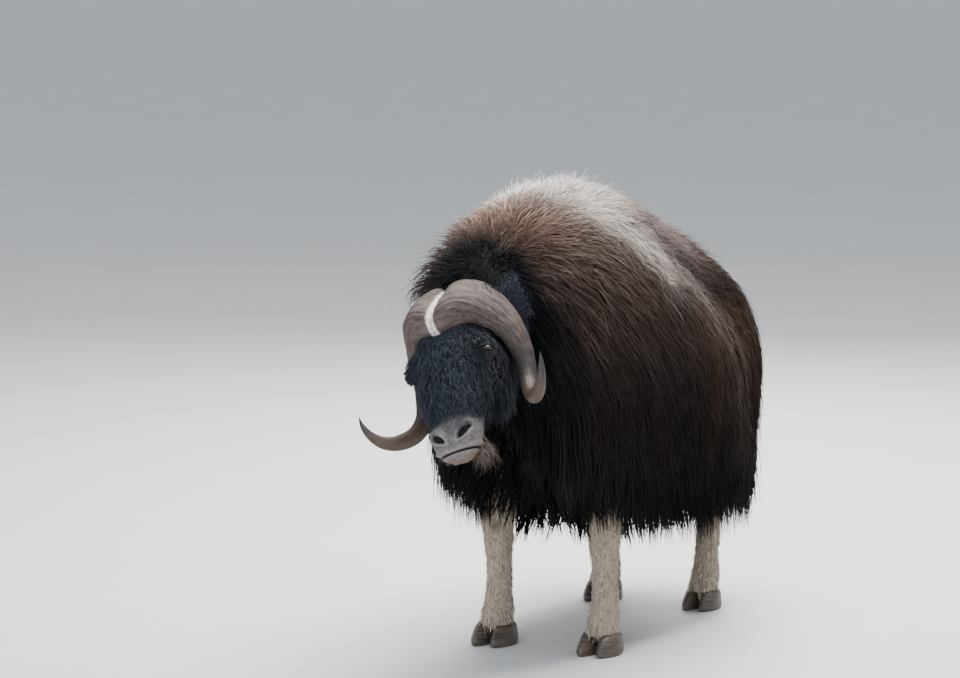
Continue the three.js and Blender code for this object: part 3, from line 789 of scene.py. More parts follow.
def claw_material(hues):
    """Claws: dark horn with growth rings and pale wear at the ground."""
    n = Nodes("claw_horn")
    rings = n.noise((18, 18, 420), 3.0, 0.5)
    blot = n.noise((55, 55, 55), 3.0, 0.55)
    colour = n.mixed(n.span(rings, 0.35, 0.65), rgba(hues.claw), rgba(hues.claw_worn))
    high = n.split(n.add("ShaderNodeTexCoord", output="Object"))[2]
    worn = n.span(high, 0.0, 0.014, 0.75, 0.0)
    colour = n.mixed(n.maths("MULTIPLY", worn, n.span(blot, 0.35, 0.6)), colour, rgba(hues.claw_worn))
    return n.set(
        Base_Color=colour,
        Roughness=n.span(blot, 0.3, 0.7, 0.36, 0.58),
        Normal=n.bump(rings, 0.4, 0.0015),
    )


def eye_material(hues):
    """A dark wet eye with a brown iris and a level pupil."""
    n = Nodes("eye_ball")
    across, up, _ = n.split(n.attribute("look", "Vector"))
    pupil = n.distance(n.maths("MULTIPLY", across, 0.62), up)
    ball = n.distance(across, up)
    spokes = n.noise((18, 18, 6), 4.0, 0.6, n.attribute("look", "Vector"))
    iris = n.mixed(n.span(spokes, 0.35, 0.65), rgba(hues.iris), rgba(hues.iris_rim))
    colour = n.mixed(n.span(pupil, 0.20, 0.26), rgba(hues.pupil), iris)
    colour = n.mixed(n.span(ball, 0.62, 0.70), colour, rgba(hues.pupil))
    return n.set(Base_Color=colour, Roughness=0.07, Coat_Weight=1.0, Coat_Roughness=0.02)


def floor_material():
    """A matt pale floor."""
    n = Nodes("studio_floor")
    grain = n.noise((3, 3, 3), 4.0, 0.6)
    colour = n.mixed(grain, rgba((0.60, 0.60, 0.59)), rgba((0.66, 0.66, 0.65)))
    return n.set(Base_Color=colour, Roughness=0.85)


# The skin


def trunk_shell():
    share = np.linspace(0, 1, 74)[1:-1]
    share = mix(share, (1 - np.cos(share * math.pi)) / 2, 0.6)
    y = mix(TRUNK[0, 0], TRUNK[-1, 0], share)
    turn = np.arange(60) / 60 * 2
    rings = on_trunk(y[:, None] + 0 * turn, turn + 0 * y[:, None])
    return rolled("trunk", to_frame(closed(rings)))


def head_shell():
    z = np.linspace(HEAD[0, 0], HEAD[-1, 0], 56)
    face, throat, half = head_section(z)
    rings = [
        ellipse_ring(np.array([0, (f + t) / 2, h]), np.array([w, 0, 0]), np.array([0, (t - f) / 2, 0]), 44)
        for h, f, t, w in zip(z, face, throat, half)
    ]
    parts = [rolled("head_form", to_frame(from_head(closed(np.array(rings)))))]
    for name, (centre, size) in HEAD_SWELLS.items():
        for side, way in SIDES.items():
            place = np.array(centre) * [way, 1, 1]
            parts.append(swell(f"{name}_{side}", place, np.array(size), from_head))
    return parts


def ear_shell(way):
    """A cupped ear: each section is a crescent that opens to the front."""
    axis = ear_way(np.array([way, 0, 0]))
    long = np.linalg.norm(axis)
    axis = axis / long
    across = unit(np.cross(axis, EAR_OPEN))
    front = unit(np.cross(across, axis))
    share = np.linspace(-0.12, 1, 22)
    angle = circle(28)
    rings = []
    for s in share:
        wide = EAR_WIDE * (0.42 + 0.58 * math.sin(math.pi * min(1, max(0, s) * 0.98 + 0.08)) ** 0.8)
        wide *= 1 - 0.25 * max(0, s)
        thick = mix(0.011, 0.004, max(0, s))
        bend = mix(0.016, 0.010, max(0, s)) * math.sin(math.pi * min(1, max(0, s) + 0.1))
        a = np.sin(angle) * wide
        b = np.cos(angle) * thick + bend * ((a / wide) ** 2 * 2 - 1)
        centre = EAR_ROOT + axis * s * long
        rings.append(centre + a[:, None] * across + b[:, None] * front)
    points = closed(np.array(rings)) * [way, 1, 1]
    return rolled("ear", to_frame(from_head(points)))


def leg_shell(leg, way):
    at, y, wide, deep, out = LEGS[leg].T
    z = np.linspace(at[0], at[-1], 46)
    fields = [along(at, v, z) for v in (y, wide, deep, out)]
    rings = [
        ellipse_ring(
            np.array([way * (LEG_ACROSS[leg] + o), f, h]), np.array([w, 0, 0]), np.array([0, d, 0]), 30
        )
        for h, f, w, d, o in zip(z, *fields)
    ]
    for ring, h in zip(rings, z):
        lump = math.exp(-(((h - KNEE[leg]) / 0.035) ** 2)) + math.exp(-(((h - FETLOCK) / 0.025) ** 2))
        ring[:, 1] += 0.004 * lump * np.sign(ring[:, 1] - ring[:, 1].mean())
    return rolled("leg", to_frame(closed(np.array(rings))))


def tail_shell():
    at, y, half = TAIL.T
    z = np.linspace(at[0], at[-1], 20)
    rings = [
        ellipse_ring(np.array([0, along(at, y, h), h]), np.array([w, 0, 0]), np.array([0, w * 0.75, 0]), 20)
        for h, w in zip(z, along(at, half, z))
    ]
    return rolled("tail", to_frame(closed(np.array(rings))))


def subdivide_where(piece, chosen, cuts=1):
    """Cuts the faces whose corners are all chosen into finer ones, and smooths them."""
    only(piece)
    bpy.ops.object.mode_set(mode="EDIT")
    bpy.ops.mesh.select_mode(type="VERT")
    bpy.ops.mesh.select_all(action="DESELECT")
    bpy.ops.object.mode_set(mode="OBJECT")
    piece.data.vertices.foreach_set("select", chosen)
    bpy.ops.object.mode_set(mode="EDIT")
    bpy.ops.mesh.select_mode(type="VERT")
    bpy.ops.mesh.subdivide(number_cuts=cuts, quadcorner="INNERVERT")
    bpy.ops.mesh.vertices_smooth(factor=0.5, repeat=3)
    bpy.ops.object.mode_set(mode="OBJECT")


NOSTRIL_DEPTH = 0.017  # how far the nostrils are pressed in


def sculpt_head(q):
    """Nostrils, mouth, lips and the folds round the eyes, as moves of the skin's points."""
    out = off_head(q)[1]
    side = folded(q)
    snout = ramp(q[:, 2], -0.26, -0.30)
    move = np.zeros_like(q)

    near = nostril_level(side)
    pit = np.exp(-(near**3)) * snout
    rim = np.exp(-(((near - 1.5) / 0.45) ** 2)) * snout
    move += out * (0.0045 * rim - NOSTRIL_DEPTH * pit)[:, None]

    level = mouth_level(q)
    cut = np.exp(-((level / 0.0032) ** 2)) * ramp(q[:, 1], 0.012, -0.01)
    lips = np.exp(-(((np.abs(level) - 0.009) / 0.006) ** 2)) * ramp(q[:, 1], 0.012, -0.03)
    move += out * (0.003 * lips - 0.009 * cut)[:, None]

    middle = np.exp(-((q[:, 0] / 0.004) ** 2)) * ramp(q[:, 2], -0.325, -0.340) * ramp(level, 0.0, 0.004)
    move -= out * (0.004 * middle)[:, None]

    far, opening = eye_level(side)
    lid = ramp(opening, 0.92, 1.12)
    goal = EYE_RADIUS + mix(-0.004, 0.0035, lid)
    goal = np.where(lid > 0.5, np.maximum(goal, far), goal)
    share = ramp(far, 0.036, 0.024) * (dot(side - EYE, EYE_WAY) > 0.0)
    around = unit(side - EYE) * side_signs(q)
    return q + move + around * ((goal - far) * share)[:, None]


def lid_shell(way, upper):
    """One eyelid: a fold of skin that follows the eye's curve from corner to corner."""
    tall = EYE_TALL_UP if upper else -EYE_TALL_DOWN
    rings = []
    for t in np.linspace(-1, 1, 26):
        flat = EYE_ACROSS * EYE_WIDE * t + EYE_UP * tall * (1 - t * t) ** 0.5
        aim = flat + EYE_WAY * math.sqrt(max(0.1, 1 - flat @ flat))
        centre = EYE + aim * (EYE_RADIUS + 0.0016)
        fat = 0.0026 * (1.15 - t * t) ** 0.5
        rim = unit(np.cross(aim, EYE_ACROSS))
        rings.append(ellipse_ring(centre, aim * fat * 0.8, rim * fat * 1.5, 12))
    points = closed(np.array(rings)) * [way, 1, 1]
    return rolled("lid", to_frame(from_head(points)))


SKIN_NODES = ["head", "neck", "torso", "tail"]
SKIN_NODES += [f"ear_{side}" for side in SIDES]
SKIN_NODES += [f"leg_{leg}_{side}" for leg, side in product(LEGS, SIDES)]
VOXEL = 0.0112  # of the grid that joins the skin's parts


def build_skin(hues):
    parts = [trunk_shell(), tail_shell(), *head_shell()]
    parts += [ear_shell(way) for way in SIDES.values()]
    parts += [leg_shell(leg, way) for leg, way in product(LEGS, SIDES.values())]
    skin = joined("skin", parts)
    apply_modifier(skin, "REMESH", mode="VOXEL", voxel_size=VOXEL)
    apply_modifier(skin, "SMOOTH", factor=0.5, iterations=5)
    q = head_points(skin)
    near_head = (off_head(q)[0] < 0.06) & (np.abs(q[:, 2] - HEAD_MIDDLE) < 0.30)
    subdivide_where(skin, near_head | (ear_share(q)[1] < 0.06))
    q = head_points(skin)
    muzzle = (off_head(q)[0] < 0.05) & (q[:, 2] < -0.255)
    subdivide_where(skin, muzzle | (eye_level(folded(q))[0] < 0.05))
    q = head_points(skin)
    nose = (nostril_level(folded(q)) < 3) | (np.abs(mouth_level(q)) < 0.014) & (off_head(q)[0] < 0.05)
    subdivide_where(skin, nose & (q[:, 1] < 0.02) | (eye_level(folded(q))[0] < 0.036))
    points = points_of(skin) - BODY_SHIFT
    q = to_head(points)
    bare = ramp(q[:, 2], -0.29, -0.32) * (points[:, 1] < -0.6)
    paint(skin, "tone", markings(points, hues) * mix(0.7, 1.0, bare)[:, None])
    head = (off_head(q)[0] < 0.05) & (np.abs(q[:, 2] - HEAD_MIDDLE) < 0.30)
    points[head] = from_head(sculpt_head(q[head]))
    set_points(skin, to_frame(points))
    lids = [lid_shell(way, upper) for way, upper in product(SIDES.values(), (True, False))]
    for lid in lids:
        paint(lid, "tone", np.tile(hues.eye_rim, (len(lid.data.vertices), 1)) * 0.2)
    skin = joined("skin", [skin, *lids])
    shade(skin)
    return finish(skin, skin_material(), SKIN_NODES)


# Horns, claws and eyes


BOSS_PLANE = (0.07, 0.17)  # up to here along a horn its sections lie along the head's middle plane


def horn_axes(count):
    """The horn's centres, its ways ahead, broad and thin, and its half sizes."""
    centre = through(HORN[:, :3], count)
    broad = through(HORN[:, 3:6], count)
    wide, thin = through(HORN[:, 6:8], count).T
    ahead = unit(np.gradient(centre, axis=0))
    upright = np.interp(np.linspace(0, 1, count), BOSS_PLANE, [1, 0])[:, None]
    ahead = unit(mix(ahead, np.array([1.0, 0.0, 0.0]), upright))
    broad = unit(broad - ahead * dot(broad, ahead)[:, None])
    return centre, ahead, broad, np.cross(ahead, broad), wide, thin


HORN_ROWS, HORN_COLUMNS = 170, 110
GROW_SCALE = 9  # of the horn's own coordinates, which its fibres follow
PARTING = 0.004  # the boss rounds down to the parting from this far
PARTING_HALF = 0.0005  # half of the gap that is left between the bosses
BOSS_REACH = 0.0065  # the bosses come that much nearer to each other over their first stretch
RIDGES_ROUND = (17, 29, 43)  # grooves along the horn, counted round it
RIDGE_HEIGHT = 0.0011
GROWTH_RINGS = 90  # along the horn, as an angle
RING_HEIGHT = 0.0007


def horn_shell(name, way):
    centre, _, broad, thin_way, wide, thin = horn_axes(HORN_ROWS)
    length = np.concatenate([[0], np.cumsum(np.linalg.norm(np.diff(centre, axis=0), axis=1))])
    share = length / length[-1]
    angle = circle(HORN_COLUMNS)
    rough = np.interp(share, [0, 0.25, 0.45, 0.7, 1], [1, 1, 0.45, 0.12, 0.0])
    relief = np.zeros((HORN_ROWS, HORN_COLUMNS))
    draw = np.random.default_rng(21)
    for ridges in RIDGES_ROUND:
        drift = draw.uniform(1.5, 4.0) * np.sin(share * draw.uniform(5, 9) + draw.uniform(0, 6))
        relief += np.sin(angle * ridges + drift[:, None] + draw.uniform(0, 6)) / ridges * 14
    relief *= (rough * RIDGE_HEIGHT)[:, None]
    rings_along = np.sin(share * GROWTH_RINGS + 0.8 * np.sin(share * 13)) * RING_HEIGHT * rough
    grown = relief + rings_along[:, None]
    square = np.interp(share, [0.0, 0.05, 0.10, 0.25], [0.80, 0.62, 0.70, 1.0])[:, None]
    a = np.sign(np.cos(angle)) * np.abs(np.cos(angle)) ** square * (wide[:, None] + grown)
    b = np.sign(np.sin(angle)) * np.abs(np.sin(angle)) ** square * (thin[:, None] + grown)
    points = centre[:, None] + a[..., None] * broad[:, None] + b[..., None] * thin_way[:, None]
    points[..., 0] -= BOSS_REACH * np.exp(-share / 0.02)[:, None]
    x = points[..., 0]
    rounded = PARTING_HALF + (PARTING - PARTING_HALF) * np.exp((x - PARTING) / PARTING)
    points[..., 0] = np.where(x < PARTING, rounded, x)
    points[..., 1] += 0.004 * np.exp(-points[..., 0] / 0.006) * (points[..., 1] < -0.05)
    shell = rolled(name, to_frame(from_head(closed(points) * [way, 1, 1])))
    q = head_points(shell) * [way, 1, 1]
    row, column = np.divmod(nearest(points.reshape(-1, 3), q), HORN_COLUMNS)
    turn, across = angle[column], wide[row]
    grow = np.stack([np.cos(turn) * across, np.sin(turn) * across, length[row]], 1) * GROW_SCALE
    note(shell, "grow", grow)
    note(shell, "mark", np.stack([q[:, 0], share[row], np.zeros(len(q))], 1))
    return shell


def build_horns(hues):
    material = horn_material(hues)
    for side, way in SIDES.items():
        shell = horn_shell(f"horn_sheath_{side}", way)
        shade(shell)
        finish(shell, material, [f"horn_{side}"])


CLAW_COLUMNS = 48
CLAW_GAP = 0.0003  # keeps the two claws of a foot apart


def claw_shell(name, leg, way, inner):
    y, long, wide, apart, high = CLAWS[leg]
    centre = np.array([way * LEG_ACROSS[leg] + inner * apart, y, 0])
    at = np.array([0, 0.03, 0.18, 0.6, 0.9, 1.0]) * high
    size = np.array([0.90, 0.935, 1, 0.9, 0.74, 0.60])
    lean = np.array([0, 0, 0, 0.006, 0.0135, 0.016])
    angle = circle(CLAW_COLUMNS)
    ahead = np.cos(angle)
    slim = 1 - 0.32 * np.maximum(0, ahead) ** 2
    rings = []
    for z in np.concatenate([np.linspace(0, at[2], 7), np.linspace(at[2], high, 14)[1:]]):
        s, back = along(at, size, z), along(at, lean, z)
        ridge = 1 + 0.008 * math.sin(z * 900)
        x = centre[0] + (wide * s * ridge - CLAW_GAP) * np.sin(angle) * slim
        x = x - inner * 0.003 * np.maximum(0, ahead)
        rings.append(np.stack([x, centre[1] - long * s * ahead + back, np.full(CLAW_COLUMNS, z)], 1))
    return rolled(name, to_frame(closed(np.array(rings))))


def build_claws(hues):
    material = claw_material(hues)
    for leg, (side, way) in product(LEGS, SIDES.items()):
        for place, inner in (("inner", -way), ("outer", way)):
            shell = claw_shell(f"hoof_{leg}_{side}_{place}", leg, way, inner)
            shade(shell)
            bpy.ops.object.shade_smooth_by_angle(angle=math.radians(50))
            finish(shell, material, [f"claw_{leg}_{side}_{place}"])


def build_eyes(hues):
    material = eye_material(hues)
    for side, way in SIDES.items():
        low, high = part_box(f"eye_{side}")
        centre = np.array((low + high) / 2)
        bpy.ops.object.select_all(action="DESELECT")
        bpy.ops.mesh.primitive_uv_sphere_add(segments=48, ring_count=32, radius=1)
        ball = bpy.context.object
        ball.name = f"eye_ball_{side}"
        turned = EYE_WAY * [way, 1, 1]
        across = unit(np.cross([0, 0, 1.0], turned))
        up = np.cross(turned, across)
        local = points_of(ball)
        bulge = 1 + 0.06 * np.exp(-((np.hypot(local[:, 0], local[:, 1]) / 0.6) ** 2)) * (local[:, 2] > 0)
        in_head = (local * bulge[:, None] * (EYE_RADIUS - BALL_GAP)) @ np.array([across, up, turned])
        set_points(ball, in_head @ HEAD_SPIN.T + centre)
        note(ball, "look", local)
        shade(ball)
        finish(ball, material, [f"eye_{side}"])


# Hair


def down(rows):
    """0 at the root to 1 at the tip, for lines with that many points."""
    return np.linspace(0, 1, rows)[None, :, None]


def tuft_faces(rows):
    """One three-sided tuft's corners: its root's face, its sides and its tip."""
    loops, sizes, spots = [2, 1, 0], [3], [(0.3, 0.1), (0.6, 0.0), (0.0, 0.0)]
    for r in range(rows - 2):
        low, high = r / (rows - 1), (r + 1) / (rows - 1)
        for j in range(3):
            k = (j + 1) % 3
            loops += [3 * r + j, 3 * r + k, 3 * r + 3 + k, 3 * r + 3 + j]
            sizes.append(4)
            spots += [(j / 3, low), ((j + 1) / 3, low), ((j + 1) / 3, high), (j / 3, high)]
    last, tip = 3 * (rows - 2), 3 * (rows - 1)
    for j in range(3):
        loops += [last + j, last + (j + 1) % 3, tip]
        sizes.append(3)
        spots += [(j / 3, 0.9), ((j + 1) / 3, 0.9), ((j + 0.5) / 3, 1.0)]
    return np.array(loops), np.array(sizes), np.array(spots)


UV_PATCH = 0.003  # size of a tuft on the coat's map
GOLDEN = 0.618034  # spreads the tufts' own numbers evenly between 0 and 1
TUFT_FLATNESS = 0.45  # thickness of a tuft to its width


def tufts(name, lines, out, width, colours, spots):
    """Closed, tapered tufts along lines of points, each with its colours and its place on the map."""
    count, rows = lines.shape[:2]
    ahead = unit(np.gradient(lines, axis=1))
    across = unit(np.cross(ahead, out))
    face = np.cross(across, ahead)
    share = np.linspace(0, 1, rows)[:-1]
    half = width[:, None] / 2 * np.sin(math.pi * mix(0.28, 1.0, share)) ** 0.75
    angle = circle(3)
    c = (np.cos(angle) * TUFT_FLATNESS)[:, None]
    s = np.sin(angle)[:, None]
    ring = c * face[:, :-1, None] + s * across[:, :-1, None]
    ring = lines[:, :-1, None] + ring * half[..., None, None]
    points = np.concatenate([ring.reshape(count, -1, 3), lines[:, -1:]], 1)
    shades = np.concatenate([np.repeat(colours[:, :-1], 3, axis=1), colours[:, -1:]], 1)
    each = points.shape[1]
    loops, sizes, patch = tuft_faces(rows)
    mesh = bpy.data.meshes.new(name)
    mesh.vertices.add(count * each)
    mesh.vertices.foreach_set("co", to_frame(points).astype(np.float32).ravel())
    mesh.loops.add(count * len(loops))
    every = (np.arange(count)[:, None] * each + loops).astype(np.int32)
    mesh.loops.foreach_set("vertex_index", every.ravel())
    starts = np.concatenate([[0], np.cumsum(sizes)[:-1]])
    mesh.polygons.add(count * len(sizes))
    starts = (np.arange(count)[:, None] * len(loops) + starts).astype(np.int32)
    mesh.polygons.foreach_set("loop_start", starts.ravel())
    mesh.update(calc_edges=True)
    mesh.shade_smooth()
    uv = mesh.uv_layers.new(name="OFBake")
    places = spots[:, None] + patch * UV_PATCH
    uv.uv.foreach_set("vector", places.astype(np.float32).ravel())
    piece = bpy.data.objects.new(name, mesh)
    bpy.context.scene.collection.objects.link(piece)
    paint(piece, "tone", shades.reshape(-1, 3))
    corner = np.append(np.tile([0.0, 1.0, 2.0], rows - 1), 1.0)
    down = np.append(np.repeat(np.arange(rows - 1), 3), rows - 1) / (rows - 1)
    long = np.linalg.norm(np.diff(lines, axis=1), axis=-1).sum(1)
    own = np.arange(count) * GOLDEN % 1
    lie = np.broadcast_arrays(corner, own[:, None], down * long[:, None])
    note(piece, "lie", np.stack(lie, -1))
    return piece


def gathered(lines, size, pull, seed):
    """Draws the lines of each clump together towards its leader, more so at the tips."""
    draw = np.random.default_rng(seed)
    count, rows = lines.shape[:2]
    leaders = draw.choice(count, max(1, count // size), replace=False)
    clump = nearest(lines[leaders, 0], lines[:, 0])
    lead = lines[leaders[clump]]
    share = down(rows) ** 1.3
    strength = pull[:, None, None] * draw.uniform(0.6, 1.0, (count, 1, 1))
    return lines + (lead - lines) * share * strength, clump


def waved(lines, out, size, clump, seed):
    """A slow wave sideways and in and out, shared by the lines of a clump."""
    draw = np.random.default_rng(seed)
    most = clump.max() + 1
    phase = draw.uniform(0, 2 * math.pi, (most, 2))
    turns = draw.uniform(0.8, 2.0, (most, 2))
    own = draw.uniform(-0.5, 0.5, (len(lines), 2))
    share = down(lines.shape[1])
    start = (phase[clump] + own)[:, None]
    swing = np.sin(share * turns[clump][:, None] * 2 * math.pi + start)
    swing = swing * share * size[:, None, None]
    across = unit(np.cross(np.gradient(lines, axis=1), out))
    return lines + across * swing[..., :1] + out * swing[..., 1:] * 0.5


horn_centre, horn_ahead, horn_broad, horn_thin_way, horn_wide, horn_thin = horn_axes(60)


def off_horns(q):
    """For points of the head's frame: their share of the nearer horn's half size, and the way out."""
    side = folded(q)
    best = np.full(len(q), 99.0)
    way = np.zeros_like(q)
    for c, f, b, t, w, h in zip(horn_centre, horn_ahead, horn_broad, horn_thin_way, horn_wide, horn_thin):
        d = side - c
        flat, high, past = d @ b / w, d @ t / h, d @ f / 0.025
        level = np.sqrt(flat**2 + high**2 + past**2)
        near = level < best
        best[near] = level[near]
        way[near] = (flat[:, None] * b / w + high[:, None] * t / h)[near]
    way[:, 0] *= np.sign(q[:, 0])
    return best, unit(way)


HEAD_CLEAR = 0.006  # how far the trunk's hair stays off the head and the ears
EAR_CLEAR = 0.036
HORN_CLEAR = 1.12  # as a share of the horn's half size


def before_ears(lines):
    """Which tufts would lie over the front of an ear."""
    q = to_head(lines)
    share, far = ear_share(q)
    way = ear_way(q)
    ahead = dot(folded(q) - EAR_ROOT - share[..., None] * way, EAR_OPEN)
    over = (far < EAR_CLEAR) & (share > 0.02) & (share < 0.99) & (ahead > -0.010)
    ahead_of = (ahead > 0.0) & (ahead < 0.10) & (share > 0.05) & (share < 0.99)
    across = unit(np.cross(way, EAR_OPEN))
    side = np.abs(dot(folded(q) - EAR_ROOT, across))
    return (over | ahead_of & (side < EAR_CLEAR * 0.8)).any(axis=1)


def kept_clear(lines):
    """Moves hair of the trunk off the head and the horns."""
    flat = lines.reshape(-1, 3).copy()
    q = to_head(flat)
    near = np.linalg.norm(q + [0, 0, 0.1], axis=1) < 0.55
    q = q[near]
    for _ in range(2):
        far, way = off_head(q)
        inside = np.clip(HEAD_CLEAR - far, 0, 0.08)[:, None]
        q += way * inside * (np.abs(q[:, 2:] - HEAD_MIDDLE) < 0.28)
        level, way = off_horns(q)
        q += way * np.clip(HORN_CLEAR - level, 0, 1)[:, None] * 0.05
    flat[near] = from_head(q)
    return flat.reshape(lines.shape)


# The long coat

# How the coat grows round the trunk: places from back to belly, and there its length,
# how far it leans to the rear, how thick it stands and how wide a tuft is.
TURN_AT = np.array([0, 0.10, 0.20, 0.30, 0.38, 0.45, 0.52, 0.60, 0.70, 0.85, 1.0])
LENGTH_AT = np.array([0.10, 0.11, 0.13, 0.17, 0.25, 0.36, 0.47, 0.44, 0.32, 0.22, 0.20])
LEAN_AT = np.array([1.5, 0.90, 0.66, 0.62, 0.76, 0.80, 0.60, 0.35, 0.20, 0.10, 0.0])
THICK_AT = np.array([1.0, 1.0, 1.0, 1.0, 1.2, 1.9, 2.3, 1.5, 0.6, 0.4, 0.35])
WIDE_AT = np.array([4.2, 4.2, 4.4, 4.8, 5.2, 5.6, 6.2, 6.8, 7.5, 8.5, 8.5]) / 1000
ROOT_SINK = 0.006  # how deep the tufts start under the trunk's surface
HANGING = 0.25  # share of the lean that is left where the hair hangs free
REAR_MOST = 1.045  # no hair reaches further to the rear
SKIRT_LENGTH = 0.47  # of the sides' longest hair
FINE_WIDTH = 0.0032  # of a tuft of the saddle, the crest and the hump
COAT_TUFTS = 7600  # a square metre
FINE_TUFTS = 11400  # more where the hair is fine


def hem_at(y):
    """The coat's lower edge is higher under the chest and behind the hind legs."""
    return SKIRT_HEM + 0.110 * ramp(y, -0.20, -0.55) + 0.060 * ramp(y, 0.70, 0.90)


def coat_plan(roots, turn, sizes):
    """How the coat grows at places of the trunk."""
    y = roots[:, 1]
    crest = ramp(y, -0.30, -0.48) * ramp(turn, 0.30, 0.12)
    hump = np.exp(-(((y + 0.12) / 0.20) ** 2)) * ramp(turn, 0.26, 0.08)
    saddle = ramp(y, -0.06, 0.08) * ramp(y, 0.72, 0.50) * ramp(turn, 0.40, 0.28)
    length = np.interp(turn, TURN_AT, LENGTH_AT)
    length = mix(length, sizes.saddle_length, saddle)
    length = mix(length, sizes.crest_length, np.maximum(crest, hump * 0.8))
    length = length + 0.08 * ramp(y, 0.72, 0.90) * ramp(turn, 0.5, 0.2)
    length = np.where(turn > 0.44, length * sizes.skirt_length / SKIRT_LENGTH, length)
    lean = np.interp(turn, TURN_AT, LEAN_AT)
    lean = mix(lean, 0.95, ramp(y, -0.2, -0.4) * ramp(turn, 0.36, 0.20))
    lean = lean * mix(1.0, 0.2, ramp(y, 0.45, 0.80)) + 0.09 * patchy(roots)
    mound = ramp(y, 0.02, 0.16) * ramp(y, 0.66, 0.42) * ramp(turn, 0.27, 0.16)
    length = mix(length, 0.125, mound)
    lift = mix(mix(0.040, 0.026, saddle), 0.062, mound)
    lift = mix(lift, 0.068, crest)
    lift = mix(lift, 0.056, hump)
    lift = lift + 0.028 * ramp(-roots[:, 0], 0.02, 0.12) * ramp(y, -0.42, -0.55)
    frizz = np.maximum(np.maximum(crest * 0.8, hump), mound * 0.7)
    fine = np.maximum(saddle, np.maximum(crest, hump))
    thick = (COAT_TUFTS + FINE_TUFTS * fine) * np.interp(turn, TURN_AT, THICK_AT)
    return {
        "length": length,
        "lean": lean,
        "lift": lift,
        "frizz": frizz,
        "thick": thick,
        "crest": crest,
        "upright": np.clip(0.15 + 0.85 * crest + 0.7 * hump + 0.5 * mound, 0, 1),
        "wide": mix(np.interp(turn, TURN_AT, WIDE_AT), FINE_WIDTH, fine),
    }


STRAY = 0.30  # share of the tufts that stand out of the coat, thin and long


def with_strays(plan, draw):
    """Makes some of the tufts thinner, longer and higher than their neighbours."""
    stray = draw.uniform(size=len(plan["wide"])) < mix(STRAY * 0.5, STRAY, plan["frizz"])
    plan["wide"] = plan["wide"] * np.where(stray, 0.42, 1.0)
    plan["length"] = plan["length"] * np.where(stray, mix(1.06, 1.35, plan["frizz"]), 1.0)
    plan["lift"] = plan["lift"] * np.where(stray, mix(1.10, 1.45, plan["frizz"]), 1.0)
    plan["stray"] = stray


def comb(roots, plan, draw, rows):
    """Lines of hair: they rise off the trunk, lie along it down and back, and then hang."""
    p = roots.copy()
    lines, outs = [], []
    count = len(p)
    frizz = plan["frizz"]
    side = np.tanh(p[:, 0] / 0.03 + 1.1 * draw.normal(size=count))
    lift = plan["lift"] * draw.uniform(0.3, 1.05, count) ** 0.8
    hem = hem_at(p[:, 1]) + draw.uniform(0, 1, count) ** 2 * 0.13
    length = plan["length"] * draw.uniform(0.72, 1.12, count)
    sway = draw.normal(0, 1, count) * mix(0.11, 0.38, frizz)
    aside = draw.normal(0, 1, count) * 0.34 * frizz
    for i in range(rows):
        share = i / (rows - 1)
        rise = mix(smooth(min(1, share * 1.9)), share, plan["upright"])
        stand = mix(-ROOT_SINK, lift, rise)
        far, out = off_trunk(p)
        hold = (out[:, 2] > -0.15) | (far < stand)
        p = p + out * np.where(hold, stand - far, 0)[:, None]
        lines.append(p)
        outs.append(out)
        spine = np.exp(-((p[:, 0] / 0.09) ** 2)) * np.maximum(0, 1.1 - np.abs(plan["lean"]) / 2)
        spine *= 1 - 0.8 * plan["crest"]
        lean = plan["lean"] * mix(HANGING, 1.0, ramp(p[:, 2], 0.55, 0.90))
        way = np.stack([side * spine + aside, lean + sway, -np.ones(count)], 1)
        level = out[:, 2] > -0.15
        way = np.where(level[:, None], way - out * dot(way, out)[:, None], way)
        p = p + unit(way) * (length / (rows - 1))[:, None]
        p[:, 1] = np.minimum(p[:, 1], REAR_MOST)
        p[:, 2] = np.maximum(p[:, 2], hem)
    return np.stack(lines, 1), np.stack(outs, 1)


ROOT_CELLS = 160  # a stretch of the trunk is cut into that many, each way


def scattered(draw, y_span, turn_span, sizes):
    """Roots spread over a stretch of the trunk, on both sides, as thick as the coat grows there."""
    y = np.linspace(*y_span, ROOT_CELLS + 1)
    turn = np.linspace(*turn_span, ROOT_CELLS + 1)
    corner = on_trunk(y[:, None] + 0 * turn, turn + 0 * y[:, None])
    a = corner[1:, :-1] - corner[:-1, :-1]
    b = corner[:-1, 1:] - corner[:-1, :-1]
    area = np.linalg.norm(np.cross(a, b), axis=-1).ravel()
    yy, tt = np.meshgrid((y[1:] + y[:-1]) / 2, (turn[1:] + turn[:-1]) / 2, indexing="ij")
    middles = on_trunk(yy.ravel(), tt.ravel())
    amount = area * coat_plan(middles, np.abs(tt.ravel()), sizes)["thick"] * sizes.thickness
    count = int(amount.sum())
    cell = draw.choice(len(amount), count, p=amount / amount.sum())
    at = yy.ravel()[cell] + draw.uniform(-0.5, 0.5, count) * (y[1] - y[0])
    around = tt.ravel()[cell] + draw.uniform(-0.5, 0.5, count) * (turn[1] - turn[0])
    return at, around


TONE_SPREAD = 0.25  # how far the tufts' brightness differs, as a logarithm
FRIZZ_SPREAD = 0.17  # how much more it does where the hair stands


def hair_tones(lines, colour_at, root_share, draw, spread=TONE_SPREAD):
    """A colour for each point of each line: the markings there, varied from tuft to tuft, and painted
    darker at the root as shade deep in the coat and lighter at the tip as light on it.
    """
    count, rows = lines.shape[:2]
    here = colour_at(lines.reshape(-1, 3)).reshape(count, rows, 3)
    tone = mix(here, here[:, :1], root_share)
    share = down(rows)
    tone = tone * np.exp(draw.normal(0, 1, count) * spread)[:, None, None]
    # Painted shade and light: from 0.45 as bright at the root to 1.2 at the tip.
    return tone * mix(0.45, 1.2, share**0.7)


